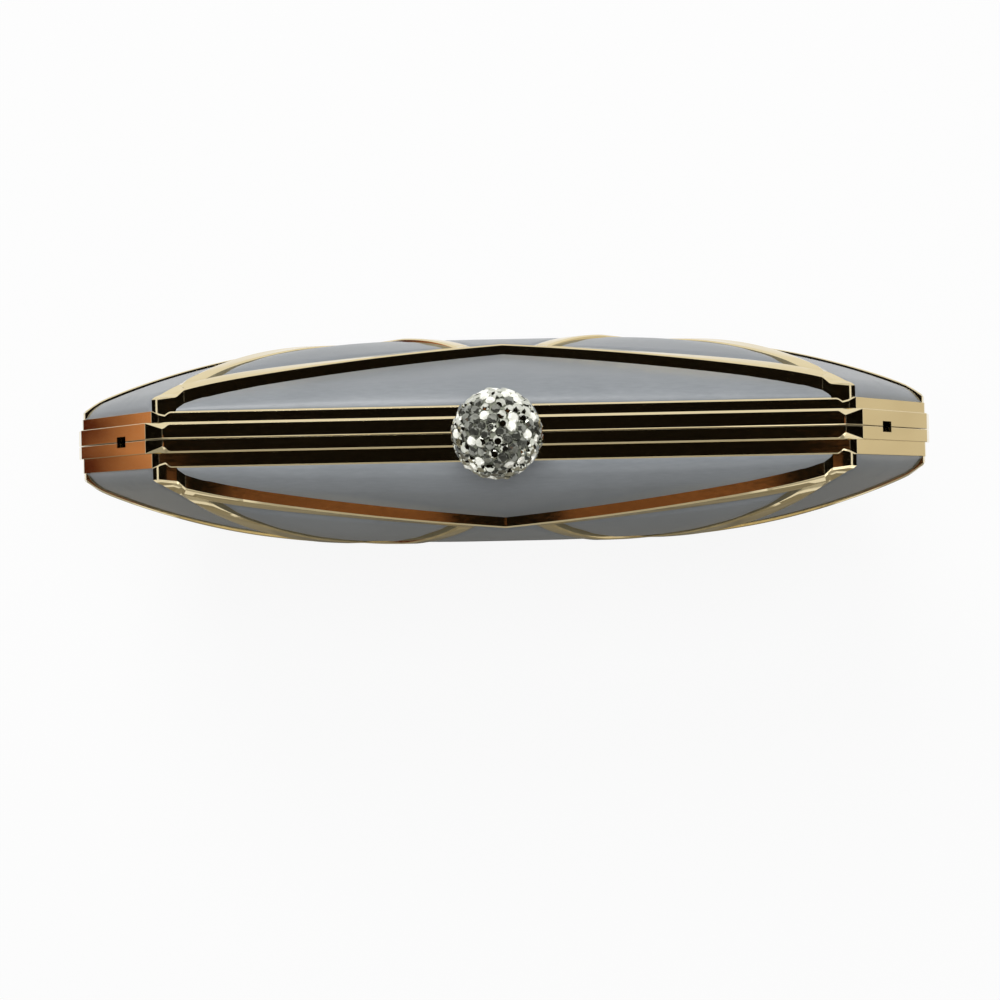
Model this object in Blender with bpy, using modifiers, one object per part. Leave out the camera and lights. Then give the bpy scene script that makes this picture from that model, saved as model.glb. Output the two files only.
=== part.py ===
"""Hard-shell evening clutch in two hinged halves with a crystal ball clasp.

X runs along the length, Y through the thickness (front is -Y), Z up. Lengths are in metres.
The origin is the middle of the bottom edge, on the seam between the halves.
"""

import math

import bmesh
import bpy
from mathutils import Matrix, Vector

# Outline of the case, seen from the front: an eight-sided figure
HEIGHT = 0.104
HALF_LENGTH = 0.0928
SHOULDER_HALF = 0.0715
CORNER_DROP = 0.030
CORNER_RADIUS = 0.002
LEAST_RADIUS = 0.0004
CORNER_SEGMENTS = 3

# Rim of each half, from the seam outwards
SEAM_GAP = 0.0003
SEAM_BEVEL = 0.00012
RIB_DEPTH = 0.00285
RIM_DEPTH = 0.00586
STEP_DROP = 0.0010
RIM_BEVEL = 0.00035
WALL_INSET = 0.0032

# Belly of the metal lattice and of the satin under it
BAR_BELLY_Y = 0.0230
BAR_EDGE_Y = 0.00875
BELLY_POWER = 2.95
CORNER_POWER = 32.0
BAR_HEIGHT_MID = 0.0014
BAR_HEIGHT_EDGE = 0.0025
BAR_WIDTH = 0.0033
BAR_SEAT_GAP = 0.0004
FOOT_SETBACK = 0.0001
BAR_ROWS = 8
FOOT_STEP_SHARE = 0.01
PARALLEL_TURN = 1e-6
PUFF = 0.0007
PUFF_REACH = 0.012
NET_CUTS = 3

# Lattice nodes, as shares of the half sizes of the outline
KINK_X_SHARE = 0.916
KINK_DEPTH_SHARE = 0.073
APEX_DEPTH_SHARE = 0.379
FORK_X_SHARE = 0.107
SIDE_NODE_X_SHARE = 0.345

# Layers of each half, from the satin inwards
GAP = 0.0003
SATIN_THICKNESS = 0.0006
SHELL_THICKNESS = 0.0010
LINING_THICKNESS = 0.0006
EDGE_THICKNESS_SHARE = 0.45

# Level base strips under the outer steps
BASE_HALF_LENGTH = 0.068
BASE_SETBACK = 0.00003

# Hinges along the bottom
HINGE_X = 0.044
HINGE_Z = 0.0018
OPEN_ANGLE = math.radians(75)
GROOVE_SPARE_ANGLE = math.radians(1.5)
KNUCKLE_RADIUS = 0.0016
KNUCKLE_LENGTH = 0.0060
KNUCKLE_END_GAP = 0.0003
KNUCKLE_GAP = 0.0003
PIN_RADIUS = 0.00062
PIN_BORE_GAP = 0.00018
PIN_OVERHANG = 0.0006
BARREL_SEGMENTS = 16

# Knob: a ball of crystals on a stem that is pressed down
KNOB_X = -0.0014
KNOB_Y = -0.00075
KNOB_TRAVEL = 0.0020
KNOB_SPARE = 0.0005
BALL_RADIUS = 0.0090
CRYSTAL_RADIUS = 0.00115
CRYSTAL_TABLE_SHARE = 0.62
CRYSTAL_HEIGHT = 0.00095
CRYSTAL_SPACING = 0.0001
CRYSTAL_SIDES = 5
BALL_FLAT_SHARE = 0.80
CUP_HEIGHT = 0.0011
CUP_NECK_RADIUS = 0.0021
CUP_LIP_RADIUS = 0.0040
STEM_RADIUS = 0.0013
STEM_GAP = 0.0004
STEM_DEPTH_IN_BALL = 0.0060
SHOULDER_RADIUS = 0.0026
ROUND_SEGMENTS = 20

# Latch on the stem and catch on the other half
TOOTH_X = 0.0055
TOOTH_WIDTH = 0.0030
TOOTH_HEIGHT = 0.0016
TOOTH_DEPTH = 0.0010
TOOTH_BACK_Y = -0.0006
LIP_GAP = 0.0006
LIP_DEPTH = 0.0010
PLATE_THICKNESS = 0.0010
LATCH_HALF_LENGTH = 0.0080
LATCH_FRONT_Y = -0.0042
LATCH_BACK_Y = 0.0018
CATCH_HALF_LENGTH = 0.0120
CATCH_FRONT_Y = 0.0006
CATCH_BACK_Y = 0.0043
CATCH_RIVET_X = 0.0095

# Housing of the latch
HOUSING_INNER_HALF = 0.0096
HOUSING_FLANGE_LENGTH = 0.0060
HOUSING_FRONT_Y = -0.0043
HOUSING_BACK_Y = -0.0006
HOUSING_FLOOR_DROP = 0.0100
STEM_TAIL = 0.0015
SPRING_WIRE_RADIUS = 0.00025
SPRING_RADIUS = 0.0020
SPRING_TURNS = 4.5
SPRING_POINTS_PER_TURN = 10

# Rivets
RIVET_RADIUS = 0.0008
RIVET_HEAD_RADIUS = 0.0015
RIVET_HEAD_HEIGHT = 0.0007
RIVET_DEPTH = 0.0014
RIVET_SEGMENTS = 12

# Holes for a carrying chain, on the seam in the sloping ends, and the eyes behind them
CHAIN_HOLE_LENGTH = 0.0034
CHAIN_HOLE_WIDTH = 0.00225
CHAIN_HOLE_SHARE = 0.38
ANCHOR_OFFSET = 0.0085
ANCHOR_LENGTH = 0.0070
ANCHOR_FRONT_Y = 0.0009
ANCHOR_BACK_Y = 0.0043
ANCHOR_THICKNESS = 0.0010
EYE_RADIUS = 0.0021
EYE_BORE_RADIUS = 0.0011
EYE_THICKNESS = 0.0012
EYE_OFFSET = 0.0018
EYE_DROP = 0.0022

# How far a cutter runs past what it cuts, and how close two points are when they count as one
OVERRUN = 0.002
WELD_DISTANCE = 0.00003

FRONT = -1
BACK = 1

parts = None
cutters = None


def material(name, colour, metallic, roughness, alpha=1.0):
    """A Principled material."""
    made = bpy.data.materials.new(name)
    made.use_nodes = True
    shader = made.node_tree.nodes["Principled BSDF"]
    shader.inputs["Base Color"].default_value = (*colour, 1.0)
    shader.inputs["Metallic"].default_value = metallic
    shader.inputs["Roughness"].default_value = roughness
    shader.inputs["Alpha"].default_value = alpha
    return made


def add_object(name, mesh, finish=None, matrix=None):
    """Put a mesh in the collection of parts, or among the cutters where it has no finish."""
    made = bpy.data.objects.new(name, mesh)
    if matrix is not None:
        made.matrix_world = matrix
    if finish is None:
        cutters.objects.link(made)
        made.hide_render = True
        made.display_type = "WIRE"
    else:
        parts.objects.link(made)
        mesh.materials.append(finish)
    return made


def finish_mesh(name, bm):
    """Turn a bmesh into a mesh with its normals outward."""
    bmesh.ops.recalc_face_normals(bm, faces=bm.faces[:])
    if bm.calc_volume(signed=True) < 0:
        bmesh.ops.reverse_faces(bm, faces=bm.faces[:])
    mesh = bpy.data.meshes.new(name)
    bm.to_mesh(mesh)
    bm.free()
    return mesh


def evaluated_mesh(source):
    """A free copy of what an object's modifiers or curve make."""
    bpy.context.view_layer.update()
    graph = bpy.context.evaluated_depsgraph_get()
    return bpy.data.meshes.new_from_object(source.evaluated_get(graph))


def boolean(target, tool, operation):
    """A live Boolean on a part."""
    modifier = target.modifiers.new(operation.lower(), "BOOLEAN")
    modifier.operation = operation
    modifier.solver = "EXACT"
    modifier.object = tool


def box(name, low, high, finish=None, matrix=None):
    """A box between two corners."""
    low = Vector(low)
    high = Vector(high)
    bm = bmesh.new()
    bmesh.ops.create_cube(bm, size=1.0)
    size = Matrix.Diagonal((*(high - low), 1.0))
    bmesh.ops.transform(bm, verts=bm.verts[:], matrix=Matrix.Translation((low + high) / 2) @ size)
    return add_object(name, finish_mesh(name, bm), finish, matrix)


def cylinder(name, radius, start, end, segments, finish=None, matrix=None):
    """A cylinder between two points."""
    start = Vector(start)
    end = Vector(end)
    along = end - start
    turn = along.to_track_quat("Z", "Y").to_matrix().to_4x4()
    bm = bmesh.new()
    bmesh.ops.create_cone(
        bm,
        cap_ends=True,
        segments=segments,
        radius1=radius,
        radius2=radius,
        depth=along.length,
        matrix=Matrix.Translation((start + end) / 2) @ turn,
    )
    return add_object(name, finish_mesh(name, bm), finish, matrix)


def flat_mesh(name, loops, thickness):
    """The mesh of flat outlines in the XY plane, later loops being holes, thickened both ways along Z."""
    curve = bpy.data.curves.new(name, "CURVE")
    curve.dimensions = "2D"
    curve.fill_mode = "BOTH"
    curve.extrude = thickness / 2
    for loop in loops:
        spline = curve.splines.new("POLY")
        spline.points.add(len(loop) - 1)
        for point, (x, y) in zip(spline.points, loop):
            point.co = (x, y, 0.0, 1.0)
        spline.use_cyclic_u = True
    guide = bpy.data.objects.new(name, curve)
    cutters.objects.link(guide)
    mesh = evaluated_mesh(guide)
    bpy.data.objects.remove(guide)
    bm = bmesh.new()
    bm.from_mesh(mesh)
    bmesh.ops.remove_doubles(bm, verts=bm.verts[:], dist=WELD_DISTANCE)
    bmesh.ops.recalc_face_normals(bm, faces=bm.faces[:])
    bm.to_mesh(mesh)
    bm.free()
    return mesh


def turned(name, profile, finish, matrix, steps=ROUND_SEGMENTS):
    """A piece turned about its own Z axis from (radius, height) points, top to bottom."""
    mesh = bpy.data.meshes.new(name)
    bm = bmesh.new()
    points = [bm.verts.new((radius, 0.0, height)) for radius, height in profile]
    for upper, lower in zip(points, points[1:]):
        bm.edges.new((upper, lower))
    bm.to_mesh(mesh)
    bm.free()
    made = add_object(name, mesh, finish, matrix)
    screw = made.modifiers.new("turn", "SCREW")
    screw.axis = "Z"
    screw.steps = steps
    screw.render_steps = steps
    screw.use_merge_vertices = True
    screw.merge_threshold = WELD_DISTANCE
    return made


def outline_corners():
    """The eight corners as (x, z), counterclockwise from the right end of the top edge."""
    right = [
        (SHOULDER_HALF, 0.0),
        (HALF_LENGTH, CORNER_DROP),
        (HALF_LENGTH, HEIGHT - CORNER_DROP),
        (SHOULDER_HALF, HEIGHT),
    ]
    return right + [(-x, z) for x, z in reversed(right)]


def offset_polygon(points, insets):
    """Move each side of a counterclockwise polygon inward by its inset and return the new corners."""
    lines = []
    for index, start in enumerate(points):
        start = Vector(start)
        end = Vector(points[(index + 1) % len(points)])
        along = (end - start).normalized()
        inward = Vector((-along.y, along.x))
        lines.append((start + inward * insets[index], along))
    corners = []
    for index, (start, along) in enumerate(lines):
        before_start, before_along = lines[index - 1]
        turn = before_along.x * along.y - before_along.y * along.x
        gap = start - before_start
        run = (gap.x * along.y - gap.y * along.x) / turn
        corners.append(before_start + before_along * run)
    return corners


def outline_loop(inset):
    """The outline drawn in by an inset, with its corners rounded, as (x, z) points."""
    corners = offset_polygon(outline_corners(), [inset] * len(outline_corners()))
    radius = max(CORNER_RADIUS - inset, LEAST_RADIUS)
    loop = []
    for index, corner in enumerate(corners):
        before = (corners[index - 1] - corner).normalized()
        after = (corners[(index + 1) % len(corners)] - corner).normalized()
        reach = radius / math.tan(before.angle(after) / 2)
        start = corner + before * reach
        end = corner + after * reach
        for step in range(CORNER_SEGMENTS + 1):
            share = step / CORNER_SEGMENTS
            blend = start * (1 - share) ** 2 + corner * 2 * share * (1 - share) + end * share**2
            loop.append(blend)
    return loop


def swept_ring(name, profile, side, finish=None):
    """A closed (inset, depth) profile carried once round the outline."""
    bm = bmesh.new()
    rings = []
    for inset, depth in profile:
        rings.append([bm.verts.new((x, side * depth, z)) for x, z in outline_loop(inset)])
    for index, ring in enumerate(rings):
        after = rings[(index + 1) % len(rings)]
        for corner in range(len(ring)):
            beside = (corner + 1) % len(ring)
            bm.faces.new((ring[corner], ring[beside], after[beside], after[corner]))
    return add_object(name, finish_mesh(name, bm), finish)


def norm(x, z):
    """0 in the middle of the outline and 1 on it, along every way out."""
    across = abs(x)
    up = abs(z - HEIGHT / 2)
    normal = Vector((CORNER_DROP, HALF_LENGTH - SHOULDER_HALF)).normalized()
    corner_reach = HALF_LENGTH * normal.x + (HEIGHT / 2 - CORNER_DROP) * normal.y
    shares = (
        up / (HEIGHT / 2),
        across / HALF_LENGTH,
        (across * normal.x + up * normal.y) / corner_reach,
    )
    return min(sum(share**CORNER_POWER for share in shares) ** (1 / CORNER_POWER), 1.0)


def bar_top(u):
    """Depth of the lattice's outer face where the outline share is u."""
    return BAR_EDGE_Y + (BAR_BELLY_Y - BAR_EDGE_Y) * (1 - u**BELLY_POWER)


def satin_top(u):
    """Depth of the satin where it meets the bars."""
    return bar_top(u) - BAR_HEIGHT_MID - (BAR_HEIGHT_EDGE - BAR_HEIGHT_MID) * u**2


def lattice_nodes():
    """The named points of the lattice, as (x, z)."""
    middle = HEIGHT / 2
    side_x = HALF_LENGTH * SIDE_NODE_X_SHARE
    kink_x = SHOULDER_HALF * KINK_X_SHARE
    kink_rise = middle * (1 - KINK_DEPTH_SHARE)
    apex_rise = middle * (1 - APEX_DEPTH_SHARE)
    fork_rise = apex_rise + (kink_rise - apex_rise) * FORK_X_SHARE
    nodes = {"centre": (0.0, middle)}
    for level, up in (("upper", 1), ("lower", -1)):
        nodes[f"{level}_apex"] = (0.0, middle + up * apex_rise)
        for hand, out in (("left", -1), ("right", 1)):
            nodes[f"{level}_{hand}_shoulder"] = (out * SHOULDER_HALF, middle + up * middle)
            nodes[f"{level}_{hand}_end"] = (out * HALF_LENGTH, middle + up * (middle - CORNER_DROP))
            nodes[f"{level}_{hand}_kink"] = (out * kink_x, middle + up * kink_rise)
            nodes[f"{level}_{hand}_fork"] = (out * kink_x * FORK_X_SHARE, middle + up * fork_rise)
            nodes[f"{hand}_side"] = (out * side_x, middle)
    return nodes


def lattice_bars():
    """The bars as pairs of node names."""
    bars = []
    for level in ("upper", "lower"):
        for hand in ("left", "right"):
            corner = f"{level}_{hand}"
            bars.append((f"{corner}_shoulder", f"{corner}_kink"))
            bars.append((f"{corner}_kink", f"{corner}_fork"))
            bars.append((f"{corner}_fork", f"{level}_apex"))
            bars.append((f"{corner}_kink", f"{hand}_side"))
            bars.append((f"{corner}_fork", f"{hand}_side"))
            bars.append((f"{corner}_end", f"{hand}_side"))
    return bars


def net_triangles():
    """The outline cut into triangles of node names, with the bars along their sides."""
    triangles = []
    for level in ("upper", "lower"):
        apex = f"{level}_apex"
        triangles.append((f"{level}_left_shoulder", f"{level}_right_shoulder", apex))
        for hand in ("left", "right"):
            corner = f"{level}_{hand}"
            triangles.append((f"{corner}_shoulder", f"{corner}_kink", f"{corner}_fork"))
            triangles.append((f"{corner}_shoulder", f"{corner}_fork", apex))
            triangles.append((f"{corner}_kink", f"{hand}_side", f"{corner}_fork"))
            triangles.append((f"{corner}_kink", f"{corner}_shoulder", f"{corner}_end"))
            triangles.append((f"{corner}_kink", f"{corner}_end", f"{hand}_side"))
            triangles.append((f"{corner}_fork", f"{hand}_side", "centre"))
            triangles.append((f"{corner}_fork", apex, "centre"))
    for hand in ("left", "right"):
        triangles.append((f"{hand}_side", f"lower_{hand}_end", f"upper_{hand}_end"))
    return triangles


def bar_distance(x, z):
    """Distance in the front view from a point to the nearest bar's middle line."""
    nodes = lattice_nodes()
    point = Vector((x, z))
    least = HALF_LENGTH
    for first, second in lattice_bars():
        start = Vector(nodes[first])
        along = Vector(nodes[second]) - start
        share = min(max((point - start).dot(along) / along.length_squared, 0.0), 1.0)
        least = min(least, (point - start - along * share).length)
    return least


def puff(x, z):
    """How far the satin swells between the bars."""
    share = min(bar_distance(x, z) / PUFF_REACH, 1.0)
    return PUFF * share**2 * (3 - 2 * share)


def place_layer(verts, side, inset, depth):
    """Move the flat net's points onto a curved surface whose border is drawn in by an inset."""
    middle = HEIGHT / 2
    for vert in verts:
        x = vert.co.x
        z = vert.co.z
        vert.co.y = side * depth(norm(x, z), x, z)
        vert.co.x = x * (HALF_LENGTH - inset) / HALF_LENGTH
        vert.co.z = middle + (z - middle) * (middle - inset) / middle


def dome_solid(name, side, outer, inner, finish=None):
    """A curved wall between two nets, each given as (inset, depth function of share, x and z)."""
    bm = bmesh.new()
    corners = {label: bm.verts.new((x, 0.0, z)) for label, (x, z) in lattice_nodes().items()}
    for labels in net_triangles():
        bm.faces.new([corners[label] for label in labels])
    bmesh.ops.subdivide_edges(bm, edges=bm.edges[:], cuts=NET_CUTS, use_grid_fill=True)
    bmesh.ops.triangulate(bm, faces=bm.faces[:])
    outer_verts = bm.verts[:]
    made = bmesh.ops.extrude_face_region(bm, geom=bm.faces[:], use_keep_orig=True)
    inner_verts = [item for item in made["geom"] if isinstance(item, bmesh.types.BMVert)]
    place_layer(outer_verts, side, *outer)
    place_layer(inner_verts, side, *inner)
    bmesh.ops.triangulate(bm, faces=[face for face in bm.faces if len(face.verts) > 3])
    return add_object(name, finish_mesh(name, bm), finish)


def layer_face(solid, gaps, swell=None):
    """A layer's face as (inset, depth function), under a thickness of solid layers and a number of gaps."""
    inset = WALL_INSET + GAP + solid + gaps * GAP

    def depth(u, x, z):
        thinned = solid * (1 - (1 - EDGE_THICKNESS_SHARE) * u**2)
        raised = swell(x, z) if swell else 0.0
        return satin_top(u) - thinned - gaps * GAP + raised

    return inset, depth


def meeting(start, along, other, other_along):
    """Where two lines in the plane meet, or the second line's start where they are parallel."""
    turn = along.x * other_along.y - along.y * other_along.x
    if abs(turn) < PARALLEL_TURN:
        return other.copy()
    gap = other - start
    return start + along * ((gap.x * other_along.y - gap.y * other_along.x) / turn)


def outline_exit(point, outward, inset):
    """Where a line from inside first crosses the outline drawn in by an inset."""
    corners = offset_polygon(outline_corners(), [inset] * len(outline_corners()))
    reached = []
    for index, corner in enumerate(corners):
        side = (corners[(index + 1) % len(corners)] - corner).normalized()
        facing = Vector((side.y, -side.x))
        if facing.dot(outward) > PARALLEL_TURN:
            reached.append((corner - point).dot(facing) / facing.dot(outward))
    return point + outward * min(reached)


def bars_leaving(name):
    """The bars that leave a node, as (direction, index of the bar), in order of angle."""
    nodes = lattice_nodes()
    leaving = []
    for index, bar in enumerate(lattice_bars()):
        if name in bar:
            other = bar[1] if name == bar[0] else bar[0]
            along = (Vector(nodes[other]) - Vector(nodes[name])).normalized()
            leaving.append((along, index))
    return sorted(leaving, key=lambda item: math.atan2(item[0].y, item[0].x))


def bar_ends():
    """The left, middle and right points of each bar's ends, as seen when leaving the node."""
    ends = {}
    half = BAR_WIDTH / 2
    for name, place in lattice_nodes().items():
        place = Vector(place)
        leaving = bars_leaving(name)
        for order, (along, index) in enumerate(leaving):
            left = Vector((-along.y, along.x)) * half
            if len(leaving) == 1:
                inside = place + along * BAR_WIDTH * 2
                starts = (inside + left, inside, inside - left)
                ends[name, index] = [outline_exit(start, -along, STEP_DROP + FOOT_SETBACK) for start in starts]
                continue
            after = leaving[(order + 1) % len(leaving)][0]
            before = leaving[order - 1][0]
            after_right = place - Vector((-after.y, after.x)) * half
            before_left = place + Vector((-before.y, before.x)) * half
            ends[name, index] = [
                meeting(after_right, after, place + left, along),
                place,
                meeting(before_left, before, place - left, along),
            ]
    return ends


def over_rim(point):
    """Whether a point in the front view lies over the rim."""
    inner = offset_polygon(outline_corners(), [WALL_INSET - FOOT_SETBACK] * len(outline_corners()))
    for index, corner in enumerate(inner):
        side = inner[(index + 1) % len(inner)] - corner
        if side.x * (point.y - corner.y) - side.y * (point.x - corner.x) < 0:
            return True
    return False


def foot_share(start, end):
    """How far along a bar, from its end on the rim, its three lines all lie over the rim."""
    share = 0
    while all(over_rim(first.lerp(last, share)) for first, last in zip(start, end)):
        share += FOOT_STEP_SHARE
    return share - FOOT_STEP_SHARE


def bar_row(bm, side, points, under):
    """The six corners of a bar's section: three on its outer face, then three under them."""
    tops = []
    bottoms = []
    for point in points:
        u = norm(point.x, point.y)
        tops.append(bm.verts.new((point.x, side * bar_top(u), point.y)))
        bottoms.append(bm.verts.new((point.x, side * under(u), point.y)))
    return tops + bottoms[::-1]


def make_lattice(label, side):
    """The lattice of one half: curved bars that meet on mitre lines, with feet down to the rim."""
    ends = bar_ends()
    bm = bmesh.new()
    for index, (first, second) in enumerate(lattice_bars()):
        start = ends[first, index]
        end = ends[second, index][::-1]
        share = 0
        if len(bars_leaving(first)) == 1:
            share = foot_share(start, end)
            add_foot(bm, side, start, [one.lerp(other, share) for one, other in zip(start, end)])
        rows = []
        for step in range(BAR_ROWS + 1):
            reach = share + (1 - share) * step / BAR_ROWS
            points = [one.lerp(other, reach) for one, other in zip(start, end)]
            rows.append(bar_row(bm, side, points, bar_seat))
        for row, after in zip(rows, rows[1:]):
            for column in range(len(row)):
                beside = (column + 1) % len(row)
                bm.faces.new((row[column], row[beside], after[beside], after[column]))
    bmesh.ops.remove_doubles(bm, verts=bm.verts[:], dist=WELD_DISTANCE)
    bmesh.ops.triangulate(bm, faces=bm.faces[:])
    name = f"{label}_lattice"
    return add_object(name, finish_mesh(name, bm))


def bar_seat(u):
    """Depth of a bar's underside, just over the satin."""
    return satin_top(u) + BAR_SEAT_GAP


def add_foot(bm, side, start, end):
    """The end of a bar that reaches down into the rim, from its outer points to its inner ones."""
    outer = bar_row(bm, side, start, lambda u: RIM_DEPTH - RIM_BEVEL)
    inner = bar_row(bm, side, end, lambda u: RIM_DEPTH - RIM_BEVEL)
    seats = [bm.verts.new((point.x, side * bar_seat(norm(point.x, point.y)), point.y)) for point in end]
    left, middle, right, right_under, middle_under, left_under = range(len(outer))
    for one, other in ((left, middle), (middle, right), (right_under, middle_under), (middle_under, left_under)):
        bm.faces.new((outer[one], outer[other], inner[other], inner[one]))
    bm.faces.new((outer[left], outer[middle], outer[middle_under], outer[left_under]))
    bm.faces.new((outer[middle], outer[right], outer[right_under], outer[middle_under]))
    bm.faces.new((inner[left_under], inner[middle_under], seats[middle], seats[left]))
    bm.faces.new((inner[middle_under], inner[right_under], seats[right], seats[middle]))
    bm.faces.new((outer[left], outer[left_under], inner[left_under], seats[left], inner[left]))
    bm.faces.new((outer[right], inner[right], seats[right], inner[right_under], outer[right_under]))


def rim_profile():
    """The section of the rim as (inset, depth) points, from the seam round and back."""
    seam = SEAM_GAP / 2
    return [
        (SEAM_BEVEL, seam),
        (0.0, seam + SEAM_BEVEL),
        (0.0, RIB_DEPTH - RIM_BEVEL),
        (RIM_BEVEL, RIB_DEPTH),
        (STEP_DROP, RIB_DEPTH),
        (STEP_DROP, RIM_DEPTH - RIM_BEVEL),
        (STEP_DROP + RIM_BEVEL, RIM_DEPTH),
        (WALL_INSET, RIM_DEPTH),
        (WALL_INSET, seam),
    ]


def hinge_spans(side):
    """The stretches of X that this half's own knuckles fill, for both hinges."""
    pitch = KNUCKLE_LENGTH + KNUCKLE_END_GAP
    places = (0,) if side == FRONT else (-1, 1)
    return [
        (middle + place * pitch - KNUCKLE_LENGTH / 2, middle + place * pitch + KNUCKLE_LENGTH / 2)
        for middle in (-HINGE_X, HINGE_X)
        for place in places
    ]


def corner_frame(hand):
    """A matrix at the middle of an upper sloping end, with Z square out of it."""
    slope = math.atan2(CORNER_DROP, HALF_LENGTH - SHOULDER_HALF)
    middle = Vector(((HALF_LENGTH + SHOULDER_HALF) / 2, 0.0, HEIGHT - CORNER_DROP / 2))
    place = Matrix.Translation((hand * middle.x, 0.0, middle.z))
    return place @ Matrix.Rotation(hand * slope, 4, "Y")


def corner_length():
    """Length of the sloping end."""
    return math.hypot(CORNER_DROP, HALF_LENGTH - SHOULDER_HALF)


def under_rim():
    """Height of the rim's inner face along the top edge."""
    return HEIGHT - WALL_INSET


def make_frame(name, side, finish):
    """Rim and lattice of one half, one casting, with its hinge knuckles and holes."""
    frame = swept_ring(name, rim_profile(), side, finish)
    label = "front" if side == FRONT else "back"
    inner = RIB_DEPTH - 2 * RIM_BEVEL
    outer = RIM_DEPTH - 2 * RIM_BEVEL
    low = (-BASE_HALF_LENGTH, min(side * inner, side * outer), BASE_SETBACK)
    high = (BASE_HALF_LENGTH, max(side * inner, side * outer), STEP_DROP + RIM_BEVEL)
    boolean(frame, box(f"{label}_base_strip", low, high), "UNION")

    half_angle = OPEN_ANGLE / 2 + GROOVE_SPARE_ANGLE
    deep = HINGE_Z + OVERRUN
    wide = deep * math.tan(half_angle)
    section = [(0.0, HINGE_Z), (-wide, -OVERRUN), (wide, -OVERRUN)]
    wedge = flat_mesh(f"{label}_hinge_groove", [section], 2 * HALF_LENGTH)
    turn = Matrix.Rotation(math.pi / 2, 4, "Z") @ Matrix.Rotation(math.pi / 2, 4, "X")
    boolean(frame, add_object(f"{label}_hinge_groove", wedge, None, turn), "DIFFERENCE")
    for index, (start, end) in enumerate(hinge_spans(-side)):
        clear = cylinder(
            f"{label}_knuckle_room_{index}",
            KNUCKLE_RADIUS + KNUCKLE_GAP,
            (start - KNUCKLE_END_GAP / 2, 0.0, HINGE_Z),
            (end + KNUCKLE_END_GAP / 2, 0.0, HINGE_Z),
            BARREL_SEGMENTS,
        )
        boolean(frame, clear, "DIFFERENCE")
    for index, (start, end) in enumerate(hinge_spans(side)):
        knuckle = cylinder(
            f"{label}_knuckle_{index}",
            KNUCKLE_RADIUS,
            (start, 0.0, HINGE_Z),
            (end, 0.0, HINGE_Z),
            BARREL_SEGMENTS,
        )
        boolean(frame, knuckle, "UNION")
    for hand in (-1, 1):
        half = 1.5 * KNUCKLE_LENGTH + KNUCKLE_END_GAP + PIN_OVERHANG + GAP
        middle = hand * HINGE_X
        bore = cylinder(
            f"{label}_pin_bore_{'left' if hand < 0 else 'right'}",
            PIN_RADIUS + PIN_BORE_GAP,
            (middle - half, 0.0, HINGE_Z),
            (middle + half, 0.0, HINGE_Z),
            BARREL_SEGMENTS,
        )
        boolean(frame, bore, "DIFFERENCE")

    hole = cylinder(
        f"{label}_stem_hole",
        STEM_RADIUS + STEM_GAP,
        (KNOB_X, KNOB_Y, under_rim() - OVERRUN),
        (KNOB_X, KNOB_Y, HEIGHT + OVERRUN),
        ROUND_SEGMENTS,
    )
    boolean(frame, hole, "DIFFERENCE")
    for hand in (-1, 1):
        along = corner_length() * (CHAIN_HOLE_SHARE - 0.5) * hand
        length = CHAIN_HOLE_LENGTH / 2
        width = CHAIN_HOLE_WIDTH / 2
        cut = box(
            f"{label}_chain_hole_{'left' if hand < 0 else 'right'}",
            (along - length, -width, -WALL_INSET - OVERRUN),
            (along + length, width, OVERRUN),
            None,
            corner_frame(hand),
        )
        boolean(frame, cut, "DIFFERENCE")
    for index, (matrix, x, y) in enumerate(rivet_places(side)):
        seat = cylinder(
            f"{label}_rivet_seat_{index}",
            RIVET_RADIUS + GAP / 2,
            (x, y, -OVERRUN),
            (x, y, RIVET_DEPTH + GAP),
            RIVET_SEGMENTS,
            None,
            matrix,
        )
        boolean(frame, seat, "DIFFERENCE")
    boolean(frame, make_lattice(label, side), "UNION")
    weld = frame.modifiers.new("weld", "WELD")
    weld.merge_threshold = WELD_DISTANCE
    return frame


def rivet_places(side):
    """Where rivets enter this half's rim: a matrix with Z pointing into the rim, then x and y in it."""
    top = Matrix.Translation((KNOB_X, 0.0, under_rim()))
    if side == FRONT:
        x = HOUSING_INNER_HALF + PLATE_THICKNESS + HOUSING_FLANGE_LENGTH / 2
        y = (HOUSING_FRONT_Y + HOUSING_BACK_Y) / 2
        return [(top, -x, y), (top, x, y)]
    y = (CATCH_FRONT_Y + CATCH_BACK_Y) / 2
    places = [(top, -CATCH_RIVET_X, y), (top, CATCH_RIVET_X, y)]
    for hand in (-1, 1):
        inner = corner_frame(hand) @ Matrix.Translation((0.0, 0.0, -WALL_INSET))
        along = anchor_along(hand) + hand * rivet_shift()
        places.append((inner, along, (ANCHOR_FRONT_Y + ANCHOR_BACK_Y) / 2))
    return places


def anchor_along(hand):
    """Where the middle of a chain anchor lies along the sloping end."""
    return hand * (corner_length() * (CHAIN_HOLE_SHARE - 0.5) + ANCHOR_OFFSET)


def rivet_shift():
    """How far a chain anchor's rivet lies below its middle."""
    return ANCHOR_LENGTH / 2 - RIVET_HEAD_RADIUS - GAP


def make_rivet(name, place, plate, finish):
    """A rivet through a plate of the given thickness into the rim."""
    matrix, x, y = place
    head_top = -2 * GAP - plate
    profile = [
        (0.0, RIVET_DEPTH),
        (RIVET_RADIUS, RIVET_DEPTH),
        (RIVET_RADIUS, head_top),
        (RIVET_HEAD_RADIUS, head_top),
        (RIVET_HEAD_RADIUS, head_top - RIVET_HEAD_HEIGHT),
        (0.0, head_top - RIVET_HEAD_HEIGHT),
    ]
    return turned(name, profile, finish, matrix @ Matrix.Translation((x, y, 0.0)), RIVET_SEGMENTS)


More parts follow.
